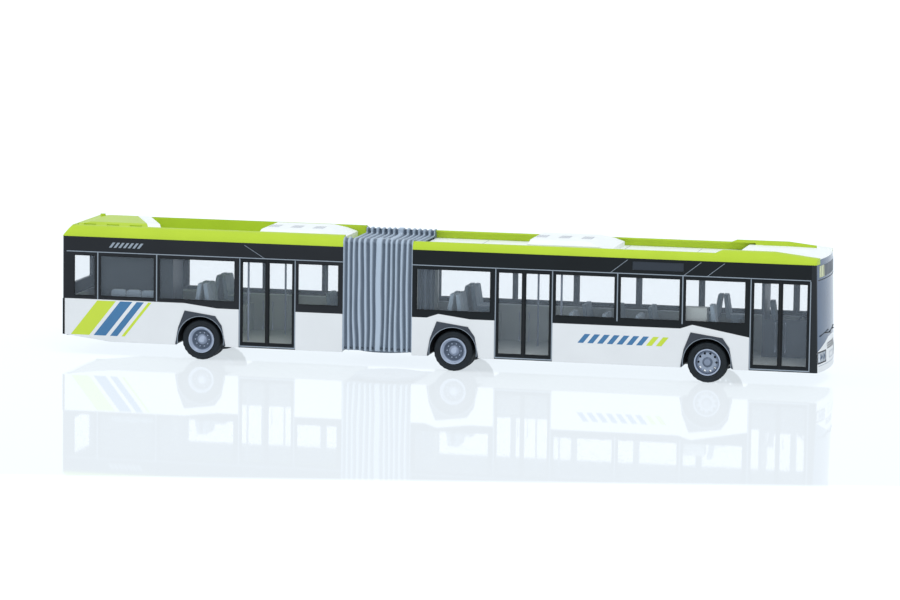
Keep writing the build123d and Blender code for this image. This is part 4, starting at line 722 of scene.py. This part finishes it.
def build_wheel_dish(axle, axle_x):
    """Dish and nuts of both wheels of one axle."""
    dishes, nuts = bmesh.new(), bmesh.new()
    for side in SIDES:
        centre = (axle_x, side * TYRE_FACE_Y, AXLE_Z)
        add_turned(dishes, DISH_PROFILE, centre, side, TYRE_SEGMENTS // 2)
        for i in range(NUT_COUNT):
            across, up = on_circle(NUT_CIRCLE, math.tau * i / NUT_COUNT)
            points = [(axle_x + across, side * (TYRE_FACE_Y - depth), AXLE_Z + up) for depth in NUT_DEPTH]
            add_tube(nuts, points, NUT_RADIUS, NUT_SIDES)
    for kind, data, finish in (("dishes", dishes, f"rim_silver_{axle}"), ("nuts", nuts, "wheel_paint")):
        piece = make_piece(f"{axle}_wheel_{kind}", data, finish)
        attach(piece, f"{axle}_wheels")


build_wheel_dish("middle", MIDDLE_AXLE_X)
build_wheel_dish("rear", REAR_AXLE_X)


# Silver lines on the window bands and round the doors

LINE_WIDTH = 0.28
FRONT_LINE_END, REAR_LINE_END = 99.2, -101.8
TOP_LINE_Z = (27.86, 28.08)
FRONT_LINES = {-1: [48.4, 65.65], 1: [15.1, 31.9, 48.9, 65.9, 83.08, 91.35]}
REAR_LINES = {-1: [-93.1, -76.7], 1: [-76.7, -54.5, -37.7]}
LINE_LOW_Z = 15.3
SILL_Z = (4.12, 4.42)
DOOR_EDGE_WIDTH = 0.28
SEAM_HALF = 0.16


def build_lines(name, lines, x_range, body):
    """Pillar lines, the long line over the windows, and the pale edges of the doors."""
    data = bmesh.new()
    for side, places in lines.items():
        for x in places:
            line_x = (x - LINE_WIDTH / 2, x + LINE_WIDTH / 2)
            add_bar(data, line_x, side_skin(side), (LINE_LOW_Z, TOP_LINE_Z[0]), LINE_BEVEL)
        add_bar(data, x_range, side_skin(side), TOP_LINE_Z, LINE_BEVEL)
    door_skin = side_skin(-1, face=DOOR_FACE)
    for back, front in DOORS[body]:
        add_bar(data, (back, front), door_skin, SILL_Z, LINE_BEVEL)
        for x in (back, front - DOOR_EDGE_WIDTH):
            add_bar(data, (x, x + DOOR_EDGE_WIDTH), door_skin, (SILL_Z[1], TOP_LINE_Z[0]), LINE_BEVEL)
    piece = make_piece(name, data, "silver_line")
    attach(piece, body)


build_lines("front_silver_lines", FRONT_LINES, (FRONT_CAR_END, FRONT_LINE_END), "front_car")
build_lines("rear_silver_lines", REAR_LINES, (REAR_LINE_END, REAR_CAR_END), "rear_car")


# Rubber round the glass of windows and doors, the meeting edges of the door leaves, and their handles

SEAL = 0.22
SEAL_BEVEL = 0.03
SEAM_BEVEL = 0.04
WINDOW_Z = (16.0, 27.1)
DOOR_GLASS_Z = (5.2, 27.0)
DOOR_GLASS_Y = 14.3
DOOR_FRAME = 0.8
PANE_Y = 14.45
FRONT_PANES = {
    -1: [(-5.5, 14.55), (31.8, 47.75), (49.05, 65.0), (66.3, 82.25)],
    1: [
        (-5.5, 14.55), (15.65, 31.25), (32.55, 48.25), (49.55, 65.25), (66.55, 82.25), (83.9, 90.7),
        (92.0, 98.8),
    ],
}
REAR_PANES = {
    -1: [(-99.75, -93.8), (-92.5, -77.35), (-76.05, -55.05), (-37.8, -26.6)],
    1: [(-76.05, -55.05), (-53.95, -38.35), (-37.05, -26.6)],
}


def add_frame(data, x_range, y_range, z_range, width):
    """Four bars round the inside of an opening."""
    (x_low, x_high), (z_low, z_high) = x_range, z_range
    for z in (z_low, z_high - width):
        add_bar(data, x_range, y_range, (z, z + width), SEAL_BEVEL)
    for x in (x_low, x_high - width):
        add_bar(data, (x, x + width), y_range, (z_low + width, z_high - width), SEAL_BEVEL)


def door_leaves(door):
    """First and last x of the glass of a door's two leaves."""
    middle = sum(door) / 2
    return [(door[0] + DOOR_FRAME, middle - DOOR_FRAME / 2), (middle + DOOR_FRAME / 2, door[1] - DOOR_FRAME)]


def build_seals(name, panes_by_side, body):
    """Seals of one car."""
    data = bmesh.new()
    for side, panes in panes_by_side.items():
        for pane in panes:
            add_frame(data, pane, side_skin(side, face=PANE_Y), WINDOW_Z, SEAL)
    for door in DOORS[body]:
        for leaf in door_leaves(door):
            add_frame(data, leaf, side_skin(-1, face=DOOR_GLASS_Y), DOOR_GLASS_Z, SEAL)
        seam = (sum(door) / 2 - SEAM_HALF, sum(door) / 2 + SEAM_HALF)
        add_bar(data, seam, side_skin(-1, 2 * PROUD, DOOR_FACE), (SILL_Z[1], TOP_LINE_Z[0]), SEAM_BEVEL)
    piece = make_piece(name, data, "rubber_line")
    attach(piece, body)


build_seals("front_seals", FRONT_PANES, "front_car")
build_seals("rear_seals", REAR_PANES, "rear_car")

HANDLE_Z = (9.0, 16.5)
HANDLE_RADIUS = 0.16
HANDLE_SPREAD = 1.3
HANDLE_BEND = 0.3
HANDLE_GLASS_Y = -14.05
HANDLE_GRIP_Y = -13.5


def build_handles(name, body):
    """Upright grab handles on the inside of the door leaves."""
    data = bmesh.new()
    glass_y, grip_y, bend = HANDLE_GLASS_Y, HANDLE_GRIP_Y, HANDLE_BEND
    low, high = HANDLE_Z
    path = [
        (glass_y, low), (grip_y - bend, low), (grip_y, low + bend),
        (grip_y, high - bend), (grip_y - bend, high), (glass_y, high),
    ]
    for door in DOORS[body]:
        for x in (sum(door) / 2 - HANDLE_SPREAD, sum(door) / 2 + HANDLE_SPREAD):
            add_tube(data, [(x, y, z) for y, z in path], HANDLE_RADIUS)
    piece = make_piece(name, data, "pole_grey", smooth=True)
    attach(piece, body)


build_handles("front_door_handles", "front_car")
build_handles("rear_door_handles", "rear_car")


# Pale caps on the low inner walls

CAP_Y = (13.22, 13.7)
CAP_Z = (14.7, 14.95)
CAP_BEVEL = 0.06
FRONT_CAPS = {-1: [(-5.7, 15.1), (31.8, 82.8)], 1: [(-5.7, 98.8)]}
REAR_CAPS = {-1: [(-102.0, -54.5), (-37.8, -26.4)], 1: [(-102.0, -26.4)]}


def build_caps(name, caps, body):
    """Caps along both sides of one car."""
    bars = [(run, [side * y for y in CAP_Y], CAP_Z) for side, runs in caps.items() for run in runs]
    build_bars(name, bars, "pale_grey", body, CAP_BEVEL)


build_caps("front_wall_caps", FRONT_CAPS, "front_car")
build_caps("rear_wall_caps", REAR_CAPS, "rear_car")


# Pale lips round the wheel arches

LIP_RADIUS = 0.14
LIP_CIRCLE = 6.44
LIP_SIDES = 6
LIP_END = -10
ARCH_STEPS = 40


def arch_angles(end):
    """Angles over a wheel arch, from one foot to the other."""
    return [math.radians(end + (180 - 2 * end) * i / ARCH_STEPS) for i in range(ARCH_STEPS + 1)]


def build_lips(name, axles, body):
    """Thin round edge along the inside of each arch trim."""
    data = bmesh.new()
    for axle_x in axles:
        for side in SIDES:
            arc = [on_circle(LIP_CIRCLE, angle) for angle in arch_angles(LIP_END)]
            points = [(axle_x + across, side * HALF, AXLE_Z + up) for across, up in arc]
            add_tube(data, points, LIP_RADIUS, LIP_SIDES)
    piece = make_piece(name, data, "silver_line", smooth=True)
    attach(piece, body)


build_lips("front_arch_lips", [FRONT_AXLE_X, MIDDLE_AXLE_X], "front_car")
build_lips("rear_arch_lips", [REAR_AXLE_X], "rear_car")


# Dark shells lining the wheel arches: partly the bus's dark liners, partly painted shade inside the arches

SHELL_RADII = (6.34, 6.43)
SHELL_OUTER_Y = 14.5
SHELL_INNER_Y = {"single": 10.2, "twin": 6.5}
SHELL_END = -8
SHELL_BACK_RADIUS = 2.6
SHELL_BACK_THICK = 0.1


def build_shells(name, arches, body):
    """Curved shell over each wheel, just inside the arch, with a back plate open at the axle; its near black
    is partly a dark liner and partly painted shade.
    """
    data = bmesh.new()
    low, high = SHELL_RADII
    for axle_x, tyres in arches:
        inner_y = SHELL_INNER_Y[tyres]
        back_y = inner_y - SHELL_BACK_THICK
        section = [
            (low, SHELL_OUTER_Y), (high, SHELL_OUTER_Y), (high, back_y),
            (SHELL_BACK_RADIUS, back_y), (SHELL_BACK_RADIUS, inner_y), (low, inner_y),
        ]
        for side in SIDES:
            rings = []
            for angle in arch_angles(SHELL_END):
                ring = []
                for radius, y in section:
                    across, up = on_circle(radius, angle)
                    ring.append(data.verts.new((axle_x + across, side * y, AXLE_Z + up)))
                rings.append(ring)
            join_rings(data, rings)
    piece = make_piece(name, data, "arch_shell")
    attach(piece, body)


build_shells("front_arch_shells", [(FRONT_AXLE_X, "single"), (MIDDLE_AXLE_X, "twin")], "front_car")
build_shells("rear_arch_shells", [(REAR_AXLE_X, "twin")], "rear_car")


# Slanted stripes and bars: height range and lean of each kind, and width and pitch of the bars

TAIL_SLANT = ((5.5, 14.9), 7.4)
SKIRT_SLANT = ((9.2, 11.6), 1.9)
BAND_SLANT = ((29.3, 30.7), 1.1)
REAR_THIN_SLANT = ((28.08, 31.4), -5.5)
FRONT_THIN_SLANT = ((28.08, 31.6), 4.5)
SKIRT_BAR = (1.5, 2.6)
BAND_BAR = (0.7, 1.3)
THIN_WIDTH = 0.18


def slanted(x, width, slant):
    """Four corners of a slanted stripe."""
    (low, high), lean = slant
    return [(x, low), (x + width, low), (x + width + lean, high), (x + lean, high)]


def build_stripes(name, stripes, slant, finish, body):
    """Slanted stripes, as (x, width), on both sides of a car."""
    data = bmesh.new()
    for side in SIDES:
        for x, width in stripes:
            low, high = sorted(side_skin(side, THIN_PROUD))
            add_prism(data, slanted(x, width, slant), low, high)
    piece = make_piece(name, data, finish)
    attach(piece, body)


def even_row(x, bar, count):
    """Places and widths of equal stripes in a row."""
    width, pitch = bar
    return [(x + i * pitch, width) for i in range(count)]


build_stripes("tail_lime_stripes", [(-100.6, 5.2), (-86.4, 0.9)], TAIL_SLANT, "lime_paint", "rear_car")
build_stripes("tail_blue_stripes", [(-94.2, 3.4), (-89.6, 2.0)], TAIL_SLANT, "blue_paint", "rear_car")
build_stripes("front_blue_bars", even_row(38.0, SKIRT_BAR, 7), SKIRT_SLANT, "blue_paint", "front_car")
build_stripes("front_lime_bars", even_row(56.2, SKIRT_BAR, 2), SKIRT_SLANT, "lime_paint", "front_car")
build_stripes("rear_pale_bars", even_row(-90.0, BAND_BAR, 7), BAND_SLANT, "silver_line", "rear_car")
build_stripes("rear_thin_lines", [(-47.1, THIN_WIDTH)], REAR_THIN_SLANT, "silver_line", "rear_car")
front_thin = [(x, THIN_WIDTH) for x in (46.4, 65.8, 72.0)]
build_stripes("front_thin_lines", front_thin, FRONT_THIN_SLANT, "silver_line", "front_car")


# Roof: joints of the deck, grey mesh in the air units' grilles (partly painted shade in the slots), inner
# faces, cover lip and corners

DECK_Z = 32.0
LOW_WALL_Y = 12.7
DECK_JOINTS = [8.0, 46.5, 66.0]
JOINT_WIDTH = 0.14
UNIT_BACKS = {"front_car": 23.15, "rear_car": -50.05}
UNIT_TOP_MIDDLE = 8.5
GRILLE_PITCH = 6.1
GRILLE_HALF = (1.45, 2.95)
GRILLE_MESH_Z = (34.75, 35.1)
GRILLE_BEVEL = 0.04


def build_deck_joints():
    """Thin joints across the front car's deck."""
    z_range = (DECK_Z - SINK, DECK_Z + THIN_PROUD)
    bars = [((x, x + JOINT_WIDTH), (-LOW_WALL_Y, LOW_WALL_Y), z_range) for x in DECK_JOINTS]
    build_bars("deck_joints", bars, "panel_line", "front_car", 0.0)


def build_grilles(name, body):
    """Grey mesh at the bottom of one air unit's three grilles, its grey partly the mesh and partly painted
    shade in the slots.
    """
    half_x, half_y = GRILLE_HALF
    middle = UNIT_BACKS[body] + UNIT_TOP_MIDDLE
    places = [middle + i * GRILLE_PITCH for i in (-1, 0, 1)]
    bars = [((x - half_x, x + half_x), (-half_y, half_y), GRILLE_MESH_Z) for x in places]
    build_bars(name, bars, "grille_mesh", body, GRILLE_BEVEL)


LINER_Y = (11.72, 11.95)
LINER_Z = (31.95, 34.6)
LINER_X = (-99.9, -25.6)
COVER_BACK = [(77.8, 31.95), (78.6, 33.6), (79.0, 33.68), (82.6, 33.68), (82.6, 31.95)]
COVER_HALF = 12.4
COVER_BEVEL = 0.08
CAP_BACK_X = 96.8
CAP_ARC = 5
CAP_INNER_Y = 11.6
CAP_LOW_Z = 33.1
CAP_SKIN = 0.12
CAP_STEPS = 8
EDGE_CENTRE_Y = 11.75
EDGE_RADIUS = 2.9
EDGE_FALL_X = 89.35
EDGE_FALL = 1.5


def build_liners():
    """Upright inner faces of the rear car's roof edges."""
    bars = [(LINER_X, [side * y for y in LINER_Y], LINER_Z) for side in SIDES]
    build_bars("rear_edge_liners", bars, "green_roof", "rear_car")


def build_cover_lip():
    """Sloping back end of the front roof cover."""
    data = bmesh.new()
    add_prism(data, COVER_BACK, -COVER_HALF, COVER_HALF, COVER_BEVEL)
    piece = make_piece("cover_lip", data, "white_roof")
    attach(piece, "front_car")


def build_nose_caps():
    """White tops of the roof edges over the nose, level with the cover between them."""
    data = bmesh.new()
    for side in SIDES:
        rows = []
        for i in range(-1, CAP_STEPS + 1):
            angle = math.radians(CAP_ARC * max(i, 0) / CAP_STEPS)
            y = CAP_INNER_Y if i < 0 else EDGE_CENTRE_Y + EDGE_RADIUS * math.sin(angle)
            front = nose_x(y, FASCIA_Z) - SINK
            row = []
            for j in range(CAP_STEPS + 1):
                x = CAP_BACK_X + (front - CAP_BACK_X) * j / CAP_STEPS
                height = EDGE_RADIUS - EDGE_FALL * (x - EDGE_FALL_X) / (NOSE_X - EDGE_FALL_X)
                z = FASCIA_Z + (height + PROUD) * math.cos(angle)
                row.append((x, side * y, z, CAP_LOW_Z if i < 1 else z - CAP_SKIN))
            rows.append(row)
        tops = [[data.verts.new((x, y, z)) for x, y, z, low in row] for row in rows]
        lows = [[data.verts.new((x, y, low)) for x, y, z, low in row] for row in rows]
        for layer in (tops, lows):
            for near, far in zip(layer, layer[1:]):
                for j in range(CAP_STEPS):
                    data.faces.new((near[j], near[j + 1], far[j + 1], far[j]))
        for i in range(CAP_STEPS + 1):
            for j in (0, CAP_STEPS):
                data.faces.new((tops[i][j], tops[i + 1][j], lows[i + 1][j], lows[i][j]))
        for row in (0, CAP_STEPS + 1):
            for j in range(CAP_STEPS):
                data.faces.new((tops[row][j], tops[row][j + 1], lows[row][j + 1], lows[row][j]))
    nose_piece("nose_corner_caps", data, "white_roof")


TAIL_STRIP_X = (-102.9, -102.3)
TAIL_STRIP_Z = (5.45, 15.2)
TAIL_SLOPE = 2.2
HIP_X, HIP_Y = 0.5, 1.0
HIP_HEIGHT, HIP_INNER = 2.7, 12.4
HIP_STEPS = 12


def build_tail_corners():
    """Hips where the roof edges meet the sloping tail."""
    data = bmesh.new()
    for side in SIDES:
        sections = []
        for i in range(HIP_STEPS + 1):
            rise = HIP_HEIGHT * i / HIP_STEPS
            x = TAIL_X + TAIL_SLOPE * rise / EDGE_RADIUS + SINK / 2
            y = EDGE_CENTRE_Y + math.sqrt(EDGE_RADIUS ** 2 - rise ** 2) - SINK / 2
            inner_y = min(y - HIP_Y, HIP_INNER)
            corners = [(x, y), (x + HIP_X, y), (x + HIP_X, inner_y), (x, inner_y)]
            sections.append([data.verts.new((cx, side * cy, FASCIA_Z + rise)) for cx, cy in corners])
        join_rings(data, sections)
    piece = make_piece("tail_corner_hips", data, "green_roof")
    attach(piece, "rear_car")


def build_tail_strips():
    """Dark strips at the rear corners of the side walls."""
    bars = [(TAIL_STRIP_X, side_skin(side), TAIL_STRIP_Z) for side in SIDES]
    build_bars("tail_corner_strips", bars, "black_band", "rear_car", LINE_BEVEL)


build_deck_joints()
build_liners()
build_cover_lip()
build_tail_strips()
build_tail_corners()
build_grilles("front_grille_mesh", "front_car")
build_grilles("rear_grille_mesh", "rear_car")


# Nose: joint over the windscreen, display, wipers and lamp details that follow the bowed front

BOW_RADIUS = 63.97
NOSE_RAKE = 0.9
NOSE_LOW_Z, NOSE_HIGH_Z = 3.9, 34.9
NOSE_STEPS = 24
UPRIGHT_STEPS = 2
RING_SEGMENTS = 28


def nose_x(y, z):
    """Place of the nose's skin."""
    rake = NOSE_RAKE * (z - NOSE_LOW_Z) / (NOSE_HIGH_Z - NOSE_LOW_Z)
    return NOSE_X - rake - BOW_RADIUS + math.sqrt(BOW_RADIUS ** 2 - y * y)


def add_nose_strip(data, y_range, z_range, proud=PROUD, steps=NOSE_STEPS):
    """Thin plate that follows the nose."""
    (y_low, y_high), (z_low, z_high) = y_range, z_range
    sections = []
    for i in range(steps + 1):
        y = y_low + (y_high - y_low) * i / steps
        corners = [(z_low, -SINK), (z_low, proud), (z_high, proud), (z_high, -SINK)]
        sections.append([data.verts.new((nose_x(y, z) + depth, y, z)) for z, depth in corners])
    join_rings(data, sections)


def add_nose_frame(data, y_range, z_range, width):
    """Four strips round a rectangle on the nose."""
    (y_low, y_high), (z_low, z_high) = y_range, z_range
    for z in (z_low, z_high - width):
        add_nose_strip(data, y_range, (z, z + width))
    for y in (y_low, y_high - width):
        add_nose_strip(data, (y, y + width), (z_low + width, z_high - width), steps=UPRIGHT_STEPS)


def add_nose_ring(data, y, z, inner, outer, depth):
    """Round bezel on the nose, lying on its skin."""
    slope = y / BOW_RADIUS
    rings = []
    for i in range(RING_SEGMENTS):
        ring = []
        for radius, proud in ((inner, -SINK), (inner, depth), (outer, depth), (outer, -SINK)):
            across, up = on_circle(radius, math.tau * i / RING_SEGMENTS)
            at_y, at_z = y + across, z + up
            ring.append(data.verts.new((nose_x(at_y, at_z) + proud, at_y + proud * slope, at_z)))
        rings.append(ring)
    join_rings(data, rings, closed=True)


def nose_piece(name, data, finish, smooth=False):
    """A finished piece of the nose, on the front car."""
    piece = make_piece(name, data, finish, smooth)
    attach(piece, "front_car")


SCREEN_TOP_Z = (27.85, 28.02)
NOSE_SIDE_Y = 13.4
PLATE_Y = (-12.3, 12.3)
PLATE_Z = (28.6, 31.6)
LAMP_Y = (7.25, 13.85)
LAMP_Z = (6.4, 9.0)
LAMP_LINE = 0.28
PROJECTORS = [(8.9, 0.95), (11.3, 0.8)]
RING_WIDTH, RING_PROUD = 0.24, 0.1
CORE_HOLE, CORE_GAP, CORE_PROUD = 0.05, 0.3, 0.05
INDICATOR_Y, INDICATOR_Z = (12.6, 13.5), (6.7, 8.7)
INDICATOR_PROUD, INDICATOR_STEPS = 0.06, 4
BUMPER_JOINT_Z = (5.5, 5.62)
NUMBER_Y = (-3.2, 3.2)
NUMBER_Z = (6.6, 8.2)
NUMBER_LINE = 0.14
GRILLE_LINE_Y = (-5.6, 5.6)
GRILLE_LINES_Z = (9.3, 9.9, 10.5)
GRILLE_LINE_HEIGHT = 0.26
WIPER_STAND = 0.12
WIPER_RADIUS = 0.1
WIPERS = [[(-1.0, 12.95), (-3.6, 13.35), (-8.4, 13.75)], [(8.6, 12.95), (6.0, 13.35), (1.2, 13.75)]]
BLADES = [[(-12.4, 13.3), (-4.4, 14.2)], [(-2.8, 13.3), (5.2, 14.2)]]


def build_nose():
    """Everything that lies on the nose."""
    dark = bmesh.new()
    add_nose_strip(dark, (-NOSE_SIDE_Y, NOSE_SIDE_Y), SCREEN_TOP_Z)
    for side in SIDES:
        lamp = sorted(side * y for y in LAMP_Y)
        frame_y = (lamp[0] - LAMP_LINE, lamp[1] + LAMP_LINE)
        add_nose_frame(dark, frame_y, (LAMP_Z[0] - LAMP_LINE, LAMP_Z[1] + LAMP_LINE), LAMP_LINE)
    for z in GRILLE_LINES_Z:
        add_nose_strip(dark, GRILLE_LINE_Y, (z, z + GRILLE_LINE_HEIGHT))
    nose_piece("nose_dark_lines", dark, "rubber_line")

    rings, cores = bmesh.new(), bmesh.new()
    lamp_z = sum(LAMP_Z) / 2
    for side in SIDES:
        for y, radius in PROJECTORS:
            add_nose_ring(rings, side * y, lamp_z, radius - RING_WIDTH, radius, RING_PROUD)
            add_nose_ring(cores, side * y, lamp_z, CORE_HOLE, radius - CORE_GAP, CORE_PROUD)
    nose_piece("lamp_rings", rings, "lamp_ring", smooth=True)
    nose_piece("lamp_cores", cores, "dark_screen", smooth=True)

    lenses = bmesh.new()
    for side in SIDES:
        lens = sorted(side * y for y in INDICATOR_Y)
        add_nose_strip(lenses, lens, INDICATOR_Z, INDICATOR_PROUD, INDICATOR_STEPS)
    nose_piece("indicators", lenses, "pale_lens")

    plate = bmesh.new()
    add_nose_strip(plate, PLATE_Y, PLATE_Z)
    nose_piece("nose_display", plate, "display_lit")

    pale = bmesh.new()
    add_nose_strip(pale, (-NOSE_SIDE_Y, NOSE_SIDE_Y), BUMPER_JOINT_Z, THIN_PROUD)
    add_nose_frame(pale, NUMBER_Y, NUMBER_Z, NUMBER_LINE)
    nose_piece("nose_pale_lines", pale, "panel_line")

    wipers = bmesh.new()
    for path in WIPERS + BLADES:
        points = [(nose_x(y, z) + WIPER_STAND, y, z) for y, z in path]
        add_tube(wipers, points, WIPER_RADIUS)
    nose_piece("wipers", wipers, "rubber_line", smooth=True)


build_nose()
build_nose_caps()


# Camera at the photograph's place; its clip distances are in metres

CAMERA_AZIMUTH, CAMERA_ELEVATION, CAMERA_ROLL = 12.644, 7.411, 0.76
CAMERA_DISTANCE = 1203.51
CAMERA_TARGET = (0.365, 0.0, 17.083)
CAMERA_LENS, CAMERA_SENSOR = 180.6, 36.0
CAMERA_CLIP = (0.01, 100.0)


def place_camera():
    """Camera with the photograph's angle, distance and lens."""
    turn, rise, roll = [math.radians(v) for v in (CAMERA_AZIMUTH, CAMERA_ELEVATION, CAMERA_ROLL)]
    back = Vector((math.sin(turn) * math.cos(rise), -math.cos(turn) * math.cos(rise), math.sin(rise)))
    right = Vector((math.cos(turn), math.sin(turn), 0))
    up = back.cross(right)
    right, up = right * math.cos(roll) + up * math.sin(roll), up * math.cos(roll) - right * math.sin(roll)
    data = bpy.data.cameras.new("photo_camera")
    data.lens = CAMERA_LENS
    data.sensor_width = CAMERA_SENSOR
    data.clip_start, data.clip_end = CAMERA_CLIP
    camera = link_object("photo_camera", data)
    matrix = Matrix((right, up, back)).transposed().to_4x4()
    matrix.translation = (Vector(CAMERA_TARGET) + back * CAMERA_DISTANCE) * MM
    camera.matrix_world = matrix
    bpy.context.scene.camera = camera


# Floor and light; the floor's size is in metres

FLOOR_HALF_SIZE = 30.0
WORLD_LEVEL = 0.76
WORLD_TINT = (0.9, 0.965, 1.04, 1.0)
WHITE = (1.0, 1.0, 1.0, 1.0)
FLOOR_COLOUR = (0.25, 0.25, 0.25, 1.0)
FLOOR_LIFT = (0.6, 0.65, 0.69, 1.0)
FLOOR_IOR = 1.08
FLOOR_ROUGHNESS = 0.03
FLOOR_SPECULAR = (0.5, 0.0)
FLOOR_GLOW = (1.0, 1.4)
GLOSS_WAY = (0.219, -0.976, 0.0)
GLOSS_END = (184.0, 189.0)

# Lamps, as direction, strength and angle across in degrees
LAMPS = {"key_lamp": ((-0.35, 0.6, -1.0), 1.0, 30), "fill_lamp": ((0.8, 0.5, -0.6), 0.35, 60)}


def build_floor():
    """Wide pale floor with a soft glow, polished towards the camera as far as the reflection reaches."""
    data = bmesh.new()
    size = FLOOR_HALF_SIZE
    corners = [(-size, -size, 0), (size, -size, 0), (size, size, 0), (-size, size, 0)]
    data.faces.new([data.verts.new(corner) for corner in corners])
    mesh = bpy.data.meshes.new("floor")
    data.to_mesh(mesh)
    data.free()
    look = new_look("floor_white")
    ahead = look.maths("ShaderNodeVectorMath", "DOT_PRODUCT", look.place(), GLOSS_WAY)["Value"]
    gloss = look.span(ahead, FLOOR_SPECULAR, in_metres(GLOSS_END))
    mesh.materials.append(look.finish(
        Base_Color=FLOOR_COLOUR, Roughness=FLOOR_ROUGHNESS, IOR=FLOOR_IOR, Specular_IOR_Level=gloss,
        Emission_Color=FLOOR_LIFT, Emission_Strength=look.span(gloss, FLOOR_GLOW, FLOOR_SPECULAR),
    ))
    floor = link_object("floor", mesh)


def build_world():
    """Even surroundings: white where the camera sees them, bluish where they light or mirror."""
    world = bpy.data.worlds.new("studio")
    bpy.context.scene.world = world
    look = Look(world, "Background")
    rays = look.add("ShaderNodeLightPath").outputs
    tint = look.mix(rays["Is Camera Ray"], WORLD_TINT, WHITE)
    bright = look.maths("ShaderNodeMath", "MAXIMUM", rays["Is Camera Ray"], rays["Is Glossy Ray"])[0]
    look.finish(Color=tint, Strength=look.span(bright, (WORLD_LEVEL, 1.0)))


def add_sun(name, direction, strength, angle):
    """Soft lamp from far away, shining along a direction."""
    data = bpy.data.lights.new(name, "SUN")
    data.energy = strength
    data.angle = math.radians(angle)
    lamp = link_object(name, data)
    lamp.rotation_euler = Vector(direction).to_track_quat("-Z", "Y").to_euler()


place_camera()
build_floor()
build_world()
for name, (direction, strength, angle) in LAMPS.items():
    add_sun(name, direction, strength, angle)

bpy.context.scene.view_settings.view_transform = "Standard"
